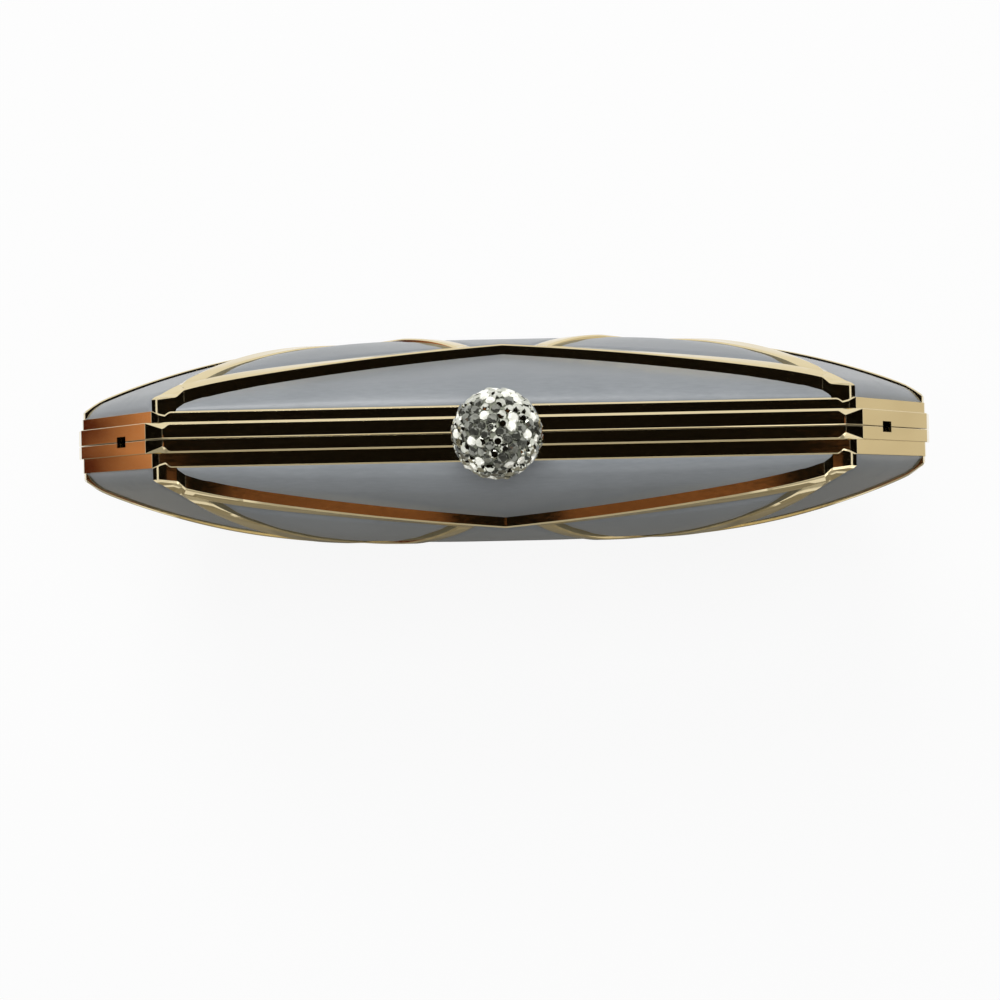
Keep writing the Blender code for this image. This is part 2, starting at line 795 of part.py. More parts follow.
def make_hinge_pin(name, hand, finish):
    """The pin that joins the knuckles of one hinge."""
    half = 1.5 * KNUCKLE_LENGTH + KNUCKLE_END_GAP
    middle = hand * HINGE_X
    start = (middle - half, 0.0, HINGE_Z)
    end = (middle + half, 0.0, HINGE_Z)
    return cylinder(name, PIN_RADIUS, start, end, BARREL_SEGMENTS, finish)


def ball_centre():
    """Height of the middle of the ball at rest."""
    flat = BALL_RADIUS * BALL_FLAT_SHARE
    return HEIGHT + KNOB_TRAVEL + KNOB_SPARE + CUP_HEIGHT + GAP + flat


def core_radius():
    """Radius of the ball under its crystals."""
    return BALL_RADIUS - CRYSTAL_HEIGHT - GAP


def knob_matrix(height):
    """A place on the knob's axis."""
    return Matrix.Translation((KNOB_X, KNOB_Y, height))


def make_ball_core(finish):
    """The ball that carries the crystals, cut flat below and bored for the stem."""
    bm = bmesh.new()
    rings = ROUND_SEGMENTS // 2
    bmesh.ops.create_uvsphere(bm, u_segments=ROUND_SEGMENTS, v_segments=rings, radius=core_radius())
    cut = bmesh.ops.bisect_plane(
        bm,
        geom=bm.verts[:] + bm.edges[:] + bm.faces[:],
        plane_co=(0.0, 0.0, -BALL_RADIUS * BALL_FLAT_SHARE),
        plane_no=(0.0, 0.0, -1.0),
        clear_outer=True,
    )
    edges = [item for item in cut["geom_cut"] if isinstance(item, bmesh.types.BMEdge)]
    bmesh.ops.contextual_create(bm, geom=edges)
    core = add_object("ball_core", finish_mesh("ball_core", bm), finish, knob_matrix(ball_centre()))
    floor = ball_centre() - BALL_RADIUS * BALL_FLAT_SHARE
    bore = cylinder(
        "ball_bore",
        STEM_RADIUS + GAP,
        (KNOB_X, KNOB_Y, floor - OVERRUN),
        (KNOB_X, KNOB_Y, floor + STEM_DEPTH_IN_BALL + GAP),
        ROUND_SEGMENTS,
    )
    boolean(core, bore, "DIFFERENCE")
    return core


def crystal_directions():
    """Outward directions of the crystals, in rings from the top of the ball down to its cup."""
    seat = core_radius() + GAP
    pitch = 2 * CRYSTAL_RADIUS + CRYSTAL_SPACING
    step = pitch / seat
    last = math.acos(-BALL_FLAT_SHARE * BALL_RADIUS / seat) - CRYSTAL_RADIUS / seat
    directions = [Vector((0.0, 0.0, 1.0))]
    ring = 1
    while ring * step < last:
        polar = ring * step
        count = int(2 * math.pi * seat * math.sin(polar) / pitch)
        for index in range(count):
            turn = 2 * math.pi * (index + 0.5 * (ring % 2)) / count
            x = math.sin(polar) * math.cos(turn)
            y = math.sin(polar) * math.sin(turn)
            directions.append(Vector((x, y, math.cos(polar))))
        ring += 1
    return directions


def make_crystals(finish):
    """The skin of crystals on the ball: one facet for each crystal, hollow for the core and open below."""
    bm = bmesh.new()
    for outward in crystal_directions():
        turn = outward.to_track_quat("Z", "Y").to_matrix().to_4x4()
        bmesh.ops.create_circle(
            bm,
            segments=CRYSTAL_SIDES,
            radius=CRYSTAL_RADIUS * CRYSTAL_TABLE_SHARE,
            matrix=Matrix.Translation(outward * BALL_RADIUS) @ turn,
        )
    hull = bmesh.ops.convex_hull(bm, input=bm.verts[:])
    bmesh.ops.delete(bm, geom=hull["geom_interior"], context="VERTS")
    flat = -BALL_RADIUS * BALL_FLAT_SHARE
    bmesh.ops.bisect_plane(
        bm,
        geom=bm.verts[:] + bm.edges[:] + bm.faces[:],
        plane_co=(0.0, 0.0, flat),
        plane_no=(0.0, 0.0, -1.0),
        clear_outer=True,
    )
    bmesh.ops.holes_fill(bm, edges=[edge for edge in bm.edges if edge.is_boundary])
    place = knob_matrix(ball_centre())
    skin = add_object("ball_crystals", finish_mesh("ball_crystals", bm), finish, place)
    room = bmesh.new()
    bmesh.ops.create_uvsphere(
        room, u_segments=ROUND_SEGMENTS, v_segments=ROUND_SEGMENTS // 2, radius=core_radius() + GAP
    )
    boolean(skin, add_object("core_room", finish_mesh("core_room", room), None, place), "DIFFERENCE")
    return skin


def make_cup(finish):
    """The small metal cup under the ball."""
    bore = STEM_RADIUS + GAP
    top = -BALL_RADIUS * BALL_FLAT_SHARE - GAP
    low = top - CUP_HEIGHT
    profile = [
        (bore, top),
        (CUP_LIP_RADIUS, top),
        (CUP_LIP_RADIUS, top - RIM_BEVEL),
        (CUP_NECK_RADIUS, low),
        (bore, low),
    ]
    return turned("ball_cup", profile + profile[:1], finish, knob_matrix(ball_centre()))


def shoulder_low():
    """Height of the underside of the stem's shoulder."""
    return under_rim() - 2 * GAP - PLATE_THICKNESS - GAP - TOOTH_HEIGHT


def latch_top():
    """Height of the latch plate's upper face."""
    return shoulder_low() - GAP


def floor_top():
    """Height of the upper face of the housing's floor."""
    return under_rim() - HOUSING_FLOOR_DROP


def make_stem(finish):
    """The stem, with the shoulder that stops it under the rim and pushes the latch plate."""
    top = ball_centre() - BALL_RADIUS * BALL_FLAT_SHARE + STEM_DEPTH_IN_BALL
    low = floor_top() - PLATE_THICKNESS - STEM_TAIL
    profile = [
        (0.0, top),
        (STEM_RADIUS, top),
        (STEM_RADIUS, under_rim() - GAP),
        (SHOULDER_RADIUS, under_rim() - GAP),
        (SHOULDER_RADIUS, shoulder_low()),
        (STEM_RADIUS, shoulder_low()),
        (STEM_RADIUS, low),
        (0.0, low),
    ]
    return turned("knob_stem", profile, finish, knob_matrix(0.0))


def make_latch_plate(finish):
    """The plate that the stem pushes down, with two teeth that hold the catch."""
    top = latch_top()
    plate = box(
        "latch_plate",
        (KNOB_X - LATCH_HALF_LENGTH, LATCH_FRONT_Y, top - PLATE_THICKNESS),
        (KNOB_X + LATCH_HALF_LENGTH, LATCH_BACK_Y, top),
        finish,
    )
    for hand in (-1, 1):
        middle = KNOB_X + hand * TOOTH_X
        tooth = box(
            f"tooth_{'left' if hand < 0 else 'right'}",
            (middle - TOOTH_WIDTH / 2, TOOTH_BACK_Y - TOOTH_DEPTH, top - PLATE_THICKNESS / 2),
            (middle + TOOTH_WIDTH / 2, TOOTH_BACK_Y, top + TOOTH_HEIGHT),
        )
        boolean(plate, tooth, "UNION")
    hole = cylinder(
        "latch_hole",
        STEM_RADIUS + GAP,
        (KNOB_X, KNOB_Y, top - PLATE_THICKNESS - OVERRUN),
        (KNOB_X, KNOB_Y, top + OVERRUN),
        ROUND_SEGMENTS,
    )
    boolean(plate, hole, "DIFFERENCE")
    return plate


def make_catch_plate(finish):
    """The plate on the back half whose two hooked fingers reach over the latch's teeth."""
    high = under_rim() - GAP
    low = high - PLATE_THICKNESS
    plate = box(
        "catch_plate",
        (KNOB_X - CATCH_HALF_LENGTH, CATCH_FRONT_Y, low),
        (KNOB_X + CATCH_HALF_LENGTH, CATCH_BACK_Y, high),
        finish,
    )
    room = cylinder(
        "shoulder_room",
        SHOULDER_RADIUS + STEM_GAP,
        (KNOB_X, KNOB_Y, low - OVERRUN),
        (KNOB_X, KNOB_Y, high + OVERRUN),
        ROUND_SEGMENTS,
    )
    boolean(plate, room, "DIFFERENCE")
    lip_back = TOOTH_BACK_Y - TOOTH_DEPTH - LIP_GAP
    lip_front = lip_back - LIP_DEPTH
    for hand in (-1, 1):
        middle = KNOB_X + hand * TOOTH_X
        label = "left" if hand < 0 else "right"
        near = middle - TOOTH_WIDTH / 2
        far = middle + TOOTH_WIDTH / 2
        root = CATCH_FRONT_Y + PLATE_THICKNESS
        finger = box(f"finger_{label}", (near, lip_front, low), (far, root, high))
        boolean(plate, finger, "UNION")
        lip = box(f"lip_{label}", (near, lip_front, latch_top() + GAP), (far, lip_back, high))
        boolean(plate, lip, "UNION")
    for index, (matrix, x, y) in enumerate(rivet_places(BACK)[:2]):
        boolean(plate, rivet_hole(f"catch_rivet_hole_{index}", matrix, x, y), "DIFFERENCE")
    return plate


def rivet_hole(name, matrix, x, y):
    """A cutter for a rivet's hole through the plate under the rim."""
    return cylinder(
        name,
        RIVET_RADIUS + GAP / 2,
        (x, y, -2 * GAP - PLATE_THICKNESS - OVERRUN),
        (x, y, OVERRUN),
        RIVET_SEGMENTS,
        None,
        matrix,
    )


def make_housing(finish):
    """The folded bracket under the front rim that guides the stem and carries the spring."""
    high = under_rim() - GAP
    inner = HOUSING_INNER_HALF
    outer = inner + PLATE_THICKNESS
    floor = floor_top()
    folded = [
        (-outer - HOUSING_FLANGE_LENGTH, high),
        (-outer - HOUSING_FLANGE_LENGTH, high - PLATE_THICKNESS),
        (-outer, high - PLATE_THICKNESS),
        (-outer, floor - PLATE_THICKNESS),
        (outer, floor - PLATE_THICKNESS),
        (outer, high - PLATE_THICKNESS),
        (outer + HOUSING_FLANGE_LENGTH, high - PLATE_THICKNESS),
        (outer + HOUSING_FLANGE_LENGTH, high),
        (inner, high),
        (inner, floor),
        (-inner, floor),
        (-inner, high),
    ]
    depth = HOUSING_BACK_Y - HOUSING_FRONT_Y
    place = Matrix.Translation((KNOB_X, (HOUSING_FRONT_Y + HOUSING_BACK_Y) / 2, 0.0))
    upright = Matrix.Rotation(math.pi / 2, 4, "X")
    strip = flat_mesh("lock_housing", [folded], depth)
    housing = add_object("lock_housing", strip, finish, place @ upright)
    shelf = box(
        "spring_shelf",
        (KNOB_X - inner / 2, HOUSING_FRONT_Y + GAP, floor - PLATE_THICKNESS),
        (KNOB_X + inner / 2, LATCH_BACK_Y, floor),
    )
    boolean(housing, shelf, "UNION")
    hole = cylinder(
        "guide_hole",
        STEM_RADIUS + GAP,
        (KNOB_X, KNOB_Y, floor - PLATE_THICKNESS - OVERRUN),
        (KNOB_X, KNOB_Y, floor + OVERRUN),
        ROUND_SEGMENTS,
    )
    boolean(housing, hole, "DIFFERENCE")
    for index, (matrix, x, y) in enumerate(rivet_places(FRONT)):
        boolean(housing, rivet_hole(f"housing_rivet_hole_{index}", matrix, x, y), "DIFFERENCE")
    return housing


def spring_points():
    """The middle line of the spring's wire, closed up by a flat quarter turn at each end."""
    low = floor_top() + GAP + SPRING_WIRE_RADIUS
    high = latch_top() - PLATE_THICKNESS - GAP - SPRING_WIRE_RADIUS
    count = int(SPRING_TURNS * SPRING_POINTS_PER_TURN)
    points = []
    for index in range(count + 1):
        share = index / count
        turn = 2 * math.pi * SPRING_TURNS * share
        x = KNOB_X + SPRING_RADIUS * math.cos(turn)
        y = KNOB_Y + SPRING_RADIUS * math.sin(turn)
        points.append(Vector((x, y, low + (high - low) * share)))
    return points


def least_self_gap(points, radius):
    """Least clear distance between turns of a wire, measured on its middle line."""
    least = None
    apart = SPRING_POINTS_PER_TURN // 2
    for index, point in enumerate(points):
        for other in points[index + apart :]:
            gap = (point - other).length - 2 * radius
            least = gap if least is None else min(least, gap)
    return least


def make_spring(finish):
    """The coil spring that lifts the knob, one unbroken wire."""
    points = spring_points()
    print(f"latch_spring least gap between turns {least_self_gap(points, SPRING_WIRE_RADIUS):.5f} m")
    curve = bpy.data.curves.new("latch_spring", "CURVE")
    curve.dimensions = "3D"
    curve.bevel_depth = SPRING_WIRE_RADIUS
    curve.bevel_resolution = 1
    curve.use_fill_caps = True
    spline = curve.splines.new("POLY")
    spline.points.add(len(points) - 1)
    for target, point in zip(spline.points, points):
        target.co = (*point, 1.0)
    made = bpy.data.objects.new("latch_spring", curve)
    parts.objects.link(made)
    curve.materials.append(finish)
    return made


def make_chain_anchor(name, hand, finish):
    """A small plate with an eye inside the back rim, beside a chain hole."""
    matrix = corner_frame(hand) @ Matrix.Translation((anchor_along(hand), 0.0, -WALL_INSET - GAP))
    half = ANCHOR_LENGTH / 2
    plate = box(
        name, (-half, ANCHOR_FRONT_Y, -ANCHOR_THICKNESS), (half, ANCHOR_BACK_Y, 0.0), finish, matrix
    )
    middle = (ANCHOR_FRONT_Y + ANCHOR_BACK_Y) / 2
    x = -hand * EYE_OFFSET
    low = (x, middle - EYE_THICKNESS / 2, -ANCHOR_THICKNESS - EYE_DROP)
    high = (x, middle + EYE_THICKNESS / 2, -ANCHOR_THICKNESS - EYE_DROP)
    label = "left" if hand < 0 else "right"
    disc = cylinder(f"eye_disc_{label}", EYE_RADIUS, low, high, ROUND_SEGMENTS, None, matrix)
    neck_low = (x - EYE_BORE_RADIUS, low[1], -ANCHOR_THICKNESS - EYE_DROP)
    neck_high = (x + EYE_BORE_RADIUS, high[1], -ANCHOR_THICKNESS / 2)
    neck = box(f"eye_neck_{label}", neck_low, neck_high, None, matrix)
    boolean(plate, disc, "UNION")
    boolean(plate, neck, "UNION")
    start = (x, low[1] - OVERRUN, low[2])
    end = (x, high[1] + OVERRUN, high[2])
    bore = cylinder(f"eye_bore_{label}", EYE_BORE_RADIUS, start, end, ROUND_SEGMENTS, None, matrix)
    boolean(plate, bore, "DIFFERENCE")
    seat = corner_frame(hand) @ Matrix.Translation((0.0, 0.0, -WALL_INSET))
    along = anchor_along(hand) + hand * rivet_shift()
    boolean(plate, rivet_hole(f"anchor_rivet_hole_{label}", seat, along, middle), "DIFFERENCE")
    return plate


def shade_smooth():
    """Smooth shading with sharp edges kept, on every mesh part."""
    for made in parts.objects:
        if made.type == "MESH":
            made.data.shade_smooth()
            made.data.set_sharp_from_angle(angle=math.radians(30))


def build():
    """Make every piece of the clutch."""
    global parts, cutters
    for old in list(bpy.data.objects):
        bpy.data.objects.remove(old)
    parts = bpy.data.collections.new("clutch")
    cutters = bpy.data.collections.new("clutch_cutters")
    bpy.context.scene.collection.children.link(parts)
    bpy.context.scene.collection.children.link(cutters)

    gold = material("pale_gold", (0.82, 0.71, 0.50), 1.0, 0.12)
    satin = material("blue_grey_satin", (0.21, 0.23, 0.26), 0.0, 0.38)
    board = material("shell_board", (0.30, 0.27, 0.24), 0.0, 0.7)
    lining = material("lining_fabric", (0.26, 0.25, 0.25), 0.0, 0.6)
    steel = material("plated_steel", (0.75, 0.74, 0.72), 1.0, 0.25)
    silver = material("ball_base", (0.45, 0.45, 0.44), 0.6, 0.4)
    crystal = material("crystal", (0.85, 0.87, 0.88), 0.0, 0.03, 0.6)

    layers = (
        ("satin_cover", SATIN_THICKNESS, puff, satin),
        ("shell", SHELL_THICKNESS, None, board),
        ("lining", LINING_THICKNESS, None, lining),
    )
    for label, side in (("front", FRONT), ("back", BACK)):
        make_frame(f"{label}_frame", side, gold)
        solid = 0.0
        for gaps, (name, thickness, swell, finish) in enumerate(layers):
            outer = layer_face(solid, gaps, swell)
            solid += thickness
            dome_solid(f"{label}_{name}", side, outer, layer_face(solid, gaps), finish)

    make_hinge_pin("hinge_pin_left", -1, steel)
    make_hinge_pin("hinge_pin_right", 1, steel)

    make_ball_core(silver)
    make_crystals(crystal)
    make_cup(gold)
    make_stem(steel)
    make_latch_plate(steel)
    make_housing(steel)
    make_spring(steel)
    make_catch_plate(steel)
    rivets = (
        ("lock_rivet", rivet_places(FRONT), PLATE_THICKNESS),
        ("catch_rivet", rivet_places(BACK)[:2], PLATE_THICKNESS),
        ("chain_anchor_rivet", rivet_places(BACK)[2:], ANCHOR_THICKNESS),
    )
    for name, places, plate in rivets:
        for hand, place in zip(("left", "right"), places):
            make_rivet(f"{name}_{hand}", place, plate, gold)
    make_chain_anchor("chain_anchor_left", -1, steel)
    make_chain_anchor("chain_anchor_right", 1, steel)
    shade_smooth()


build()
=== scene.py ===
"""Looks of an evening clutch: rims, lattice, satin, lining, stones, finishes, light and camera.

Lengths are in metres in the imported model's frame: X along the length, Y from front to back, Z up.
"""

import functools
import math
import random

import bmesh
import bpy
from mathutils import Matrix, Vector, geometry


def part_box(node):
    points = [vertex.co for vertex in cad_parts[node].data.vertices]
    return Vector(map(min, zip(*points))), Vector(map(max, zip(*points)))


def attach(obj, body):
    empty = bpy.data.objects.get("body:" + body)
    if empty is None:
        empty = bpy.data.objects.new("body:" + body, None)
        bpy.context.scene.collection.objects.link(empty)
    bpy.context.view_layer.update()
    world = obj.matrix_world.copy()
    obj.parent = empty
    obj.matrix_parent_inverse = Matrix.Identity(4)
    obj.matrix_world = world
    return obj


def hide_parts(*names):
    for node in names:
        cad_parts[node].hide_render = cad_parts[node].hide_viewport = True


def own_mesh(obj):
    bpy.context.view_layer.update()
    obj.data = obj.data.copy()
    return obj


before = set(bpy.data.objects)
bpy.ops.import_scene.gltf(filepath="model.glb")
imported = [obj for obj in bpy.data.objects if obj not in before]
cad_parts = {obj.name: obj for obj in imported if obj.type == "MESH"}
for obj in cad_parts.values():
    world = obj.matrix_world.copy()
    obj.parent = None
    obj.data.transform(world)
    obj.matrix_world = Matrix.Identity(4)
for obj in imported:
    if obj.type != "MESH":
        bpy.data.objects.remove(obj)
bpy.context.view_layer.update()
_, FRAME_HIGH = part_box("back_frame")
_, BALL_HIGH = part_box("ball_crystals")

# Outline of the case and section of its rim
HEIGHT = FRAME_HIGH.z
MIDDLE = HEIGHT / 2
HALF_LENGTH = FRAME_HIGH.x
SHOULDER_HALF = 0.0715
CORNER_DROP = 0.030
SLOPE_RUN = HALF_LENGTH - SHOULDER_HALF
RIB_CORNER_REACH = 0.0024
STEP_CORNER_REACH = 0.0010
EDGE_ROUNDING = 0.00022
SEAM_GAP = 0.00012
FRONT_RIB_DEPTH = 0.00280
BACK_RIB_DEPTH = 0.00345
RIM_DEPTH = 0.00586
STEP_DROP = 0.0010
WALL_INSET = 0.0032
EDGE_FLAT = {"front": (0.00036, 0.00030), "back": (0.00052, 0.00036)}
SEAM_FLAT = {"front": (0.00004, 0.00004), "back": (0.00024, 0.00017)}
POLISHED_FLAT = (0.00135, 0.00078)
END_FLAT = (0.00010, 0.00008)
FLAT_ROUNDING = 0.00004
POLISH_X = SHOULDER_HALF - RIB_CORNER_REACH
POLISHED_REACH = 0.0016
POLISH_STOP_SHARES = (0.25, 0.5, 0.75, 1.0)
ROUND_STEPS = 2
RIM_SMOOTH_ANGLE = math.radians(32)

# Belly of the lattice and of the satin
BAR_BELLY_Y = 0.0230
BAR_EDGE_Y = 0.00875
BELLY_POWER = 2.95
CORNER_POWER = 32.0
BAR_HEIGHT_MID = 0.0012
BAR_HEIGHT_EDGE = 0.0025
BAR_WIDTH = 0.0033
BAR_BEVEL = 0.00030
BAR_SINK = 0.0009
BAR_FLATNESS = 0.88
FOOT_FLATNESS = 0.25
FLATNESS_START_SHARE = 0.6
FLATNESS_SPAN_SHARE = 0.35
BAR_ROWS = 36
BAR_SMOOTH_ANGLE = math.radians(28)
FOOT_REACH = 0.0042
FOOT_INSET = 0.0012
SHOULDER_FOOT_DROP = 0.0005
END_FOOT_DROP = 0.0016
KINK_X_SHARE = 0.916
KINK_DEPTH_SHARE = 0.073
APEX_DEPTH_SHARE = 0.379
FORK_X_SHARE = 0.107
SIDE_NODE_X_SHARE = 0.345

# Satin and lining
LAYER_GAP = 0.0003
SATIN_THICKNESS = 0.0006
SHELL_THICKNESS = 0.0010
LINING_THICKNESS = 0.0006
EDGE_THICKNESS_SHARE = 0.45
FAN_SWELL = 0.0008
FAN_SWELL_REACH = 0.012
WINDOW_SWELL_SHARE = 0.62
WINDOW_SWELL_REACH = 0.0019
SATIN_INSET = 0.00125
SATIN_FALL = 0.0029
PUCKER_HEIGHT = 0.00013
PUCKER_REACH = 0.0022
PUCKER_STEEPNESS = 3
PUCKER_LENGTHS = (0.0017, 0.0026, 0.0041)
SATIN_SPACING = 0.0013
SATIN_RING_INSETS = (0.0, 0.00012, 0.0004, 0.0009, 0.0016)
LINING_NET_CUTS = 13

# Level strips under the rims, and the hinges
BASE_HALF_LENGTH = 0.068
BASE_ROUNDING = 0.00045
BASE_LIFT = 0.00003
HINGE_X = 0.044
HINGE_Z = 0.0018
GROOVE_HALF_ANGLE = math.radians(39)
KNUCKLE_RADIUS = 0.0016
KNUCKLE_LENGTH = 0.0060
KNUCKLE_GAP = 0.0003
BARREL_STEPS = 32
SOFTENED_ANGLE = math.radians(40)

# Knob
KNOB_X = -0.0014
KNOB_Y = -0.00075
STEM_HOLE_RADIUS = 0.0017
BALL_RADIUS = 0.0090
BALL_MIDDLE = Vector((KNOB_X, KNOB_Y, BALL_HIGH.z - BALL_RADIUS))
BALL_FLAT_SHARE = 0.80
LOWEST_STONE_SHARE = -0.72
STONE_COUNT = 236
STONE_RADIUS = 0.00118
STONE_SIDES = 8
STONE_TABLE_SHARE = 0.60
STONE_CROWN_SHARE = 0.42
STONE_POINT_SHARE = 0.7
STONE_SEAT_SHARE = 0.9
STONE_SEAT = BALL_RADIUS - STONE_RADIUS * STONE_CROWN_SHARE * STONE_SEAT_SHARE
STONE_SIZE_SHARES = (0.84, 1.12)
STONE_DEPTH_SHARES = (0.98, 1.0)
STONE_TILT = math.radians(22)
BALL_SMOOTH_ANGLE = math.radians(30)
BALL_STEPS = 48
BEAD_COUNT = 1500
BEAD_RADIUS = 0.00040
BEAD_ROOM_SHARE = 0.35
BEAD_SINK_SHARE = 0.2
STONE_SEED = 7

# Return spring under the knob
WIRE_RADIUS = 0.00025
COIL_TURNS = 4.5
CLOSED_TURNS = 0.5
COIL_STEPS = 24
WIRE_SIDES = 10
WIRE_SMOOTH_ANGLE = math.radians(50)

# Holes for a carrying chain
CHAIN_HOLE_LENGTH = 0.0042
CHAIN_HOLE_WIDTH = 0.00225
CHAIN_HOLE_SHARE = 0.38

# Camera, fitted to the photograph: image 1000 pixels square, principal point in its middle
IMAGE_SIZE = 1000
FOCAL_PIXELS = 1980
SENSOR_WIDTH_MM = 36.0
SEAM_PIXEL = Vector((504.0, 432.2))
NADIR_PIXEL = Vector((504.0, 517.0))
LENGTH_SLOPE = -0.0206
SEAM_DISTANCE = 0.400
NEAR_CLIP = 0.01

# Depths of the finishes' fine relief
FACET_DEPTH = 0.00001
POLISH_DEPTH = 0.00002
TWILL_DEPTH = 0.00002
BOARD_DEPTH = 0.00004
WEAVE_DEPTH = 0.00006
RESIN_DEPTH = 0.00008

# Floor and surroundings
FLOOR_Z = -0.0125
FLOOR_RADIUS = 4.0
FLOOR_STEPS = 96
FLOOR_COLOUR = (0.55, 0.55, 0.55, 1.0)
FLOOR_GLOW_SHARE = 0.9
WHITE = (1.0, 1.0, 1.0, 1.0)
WORLD_LIGHT = 0.23

# Cards that only polished surfaces see, in pairs of darker and lighter colours
DARK = ((0.010, 0.008, 0.005), (0.016, 0.012, 0.008))
COPPER = ((0.10, 0.034, 0.012), (0.72, 0.30, 0.12))
ORANGE = ((0.05, 0.008, 0.003), (0.47, 0.20, 0.085))
OLIVE = ((0.09, 0.08, 0.062), (0.36, 0.335, 0.27))
CHAMPAGNE = ((0.50, 0.46, 0.38), (1.0, 1.0, 0.96))
BEIGE = ((0.47, 0.42, 0.33), (0.62, 0.57, 0.46))

# Each card's middle, size, turn in degrees and colours, then how fine its mottle is and its fade
CARDS = {
    "flag_above": ((0.0, 0.0, 0.75), (1.04, 1.7), 180, DARK),
    "flag_above_left": ((-1.44, 0.0, 0.75), (1.48, 1.7), 180, DARK),
    "flag_warm_left": ((-0.235, -0.079, 0.74), (0.13, 0.173), 180, COPPER, 16.0),
    "flag_above_right": ((1.44, 0.0, 0.75), (1.48, 1.7), 180, DARK),
    "flag_warm_right": ((0.235, -0.079, 0.74), (0.13, 0.173), 180, COPPER, 16.0),
    "flag_front": ((0.0, -0.19, FLOOR_Z + LAYER_GAP), (0.8, 0.34), 0, OLIVE, 12.0),
    "flag_level": ((0.0, -1.3, 0.12), (3.0, 0.9), 90, CHAMPAGNE, 1.6),
    "flag_left": ((-0.23, 0.004, 0.004), (0.09, 0.12), 0, ORANGE, 26.0, -0.9),
    "flag_right": ((0.26, 0.004, 0.004), (0.16, 0.12), 0, BEIGE),
}

# Each light's place, aim, size and power, then whether polished surfaces mirror it
LIGHTS = {
    "key": ((-0.18, 0.70, 0.90), (0.0, 0.0, 0.07), (0.5, 0.5), 8.5),
    "top": ((0.0, 0.12, 1.15), (0.0, 0.0, 0.07), (0.7, 0.5), 10.5, False),
    "fill": ((0.5, -0.9, 0.7), (0.0, 0.0, 0.05), (0.8, 0.7), 1.4),
}

# Cutters' overrun, and signs of the halves, levels and hands
OVERRUN = 0.002
HALVES = {"front": -1, "back": 1}
LEVELS = {"upper": 1, "lower": -1}
HANDS = {"left": -1, "right": 1}
PARALLEL_TURN = 1e-6


def set_inputs(node, inputs):
    """Set a node's inputs to values or link them to outputs."""
    for label, value in inputs.items():
        if isinstance(value, bpy.types.NodeSocket):
            node.id_data.links.new(value, node.inputs[label])
        else:
            node.inputs[label].default_value = value


def add_node(tree, kind, inputs):
    """A new shader node with its inputs filled in."""
    made = tree.nodes.new(f"ShaderNode{kind}")
    set_inputs(made, inputs)
    return made


def principled(name, inputs):
    """A Principled material with its inputs filled in, and its tree and shader."""
    made = bpy.data.materials.new(name)
    made.use_nodes = True
    shader = made.node_tree.nodes["Principled BSDF"]
    set_inputs(shader, inputs)
    return made, made.node_tree, shader


def coordinates(tree, scale=(1.0, 1.0, 1.0), turn=(0.0, 0.0, 0.0)):
    """The piece's own coordinates, scaled and turned."""
    place = add_node(tree, "TexCoord", {}).outputs["Object"]
    return add_node(tree, "Mapping", {"Vector": place, "Scale": scale, "Rotation": turn}).outputs["Vector"]


def noise(tree, scale, detail=3.0, stretch=(1.0, 1.0, 1.0)):
    """A noise texture's value over the piece's own coordinates."""
    inputs = {"Vector": coordinates(tree, stretch), "Scale": scale, "Detail": detail, "Roughness": 0.55}
    return add_node(tree, "TexNoise", inputs).outputs["Fac"]


def threads(tree, angle, scale, distortion=0.6):
    """Bands of thread across the piece's X, turned about Y by an angle in degrees."""
    place = coordinates(tree, turn=(0.0, math.radians(angle), 0.0))
    inputs = {"Vector": place, "Scale": scale, "Distortion": distortion, "Detail": 2.0}
    return add_node(tree, "TexWave", inputs).outputs["Fac"]


def remap(tree, value, low, high, start=0.3, end=0.7):
    """A value stretched to a new range, as a rule from the range of most noise."""
    inputs = {"Value": value, "From Min": start, "From Max": end, "To Min": low, "To Max": high}
    return add_node(tree, "MapRange", inputs).outputs["Result"]


def shade(tree, value, dark, light):
    """A colour between two, by a value; inputs 6 and 7 are the node's colours."""
    made = add_node(tree, "Mix", {"Factor": value})
    made.data_type = "RGBA"
    set_inputs(made, {6: (*dark, 1.0), 7: (*light, 1.0)})
    return made.outputs[2]


def combine(tree, operation, first, second):
    """A Math node on two values."""
    made = add_node(tree, "Math", {0: first, 1: second})
    made.operation = operation
    return made.outputs["Value"]


def dress(shader, colour, roughness, height, depth, strength):
    """Give a shader a colour, a roughness and a bump of a height value."""
    inputs = {"Height": height, "Distance": depth, "Strength": strength}
    normal = add_node(shader.id_data, "Bump", inputs).outputs["Normal"]
    set_inputs(shader, {"Base Color": colour, "Roughness": roughness, "Normal": normal})


def gold_material():
    """Polished pale gold plating, with faint wiping marks and a slight warm drift."""
    made, tree, shader = principled("polished_gold", {"Metallic": 1.0})
    colour = shade(tree, noise(tree, 38.0, 2.0), (0.70, 0.58, 0.34), (0.82, 0.71, 0.46))
    marks = noise(tree, 420.0, 4.0, (1.0, 5.0, 5.0))
    dress(shader, colour, remap(tree, marks, 0.045, 0.11), noise(tree, 160.0, 1.0), POLISH_DEPTH, 0.35)
    return made


def steel_material():
    """Plated steel with a brushed grain along X."""
    made, tree, shader = principled("plated_steel", {"Metallic": 1.0})
    grain = noise(tree, 8.0, stretch=(30.0, 900.0, 900.0))
    colour = shade(tree, grain, (0.60, 0.59, 0.57), (0.76, 0.75, 0.73))
    dress(shader, colour, remap(tree, grain, 0.20, 0.34), grain, POLISH_DEPTH, 0.5)
    return made


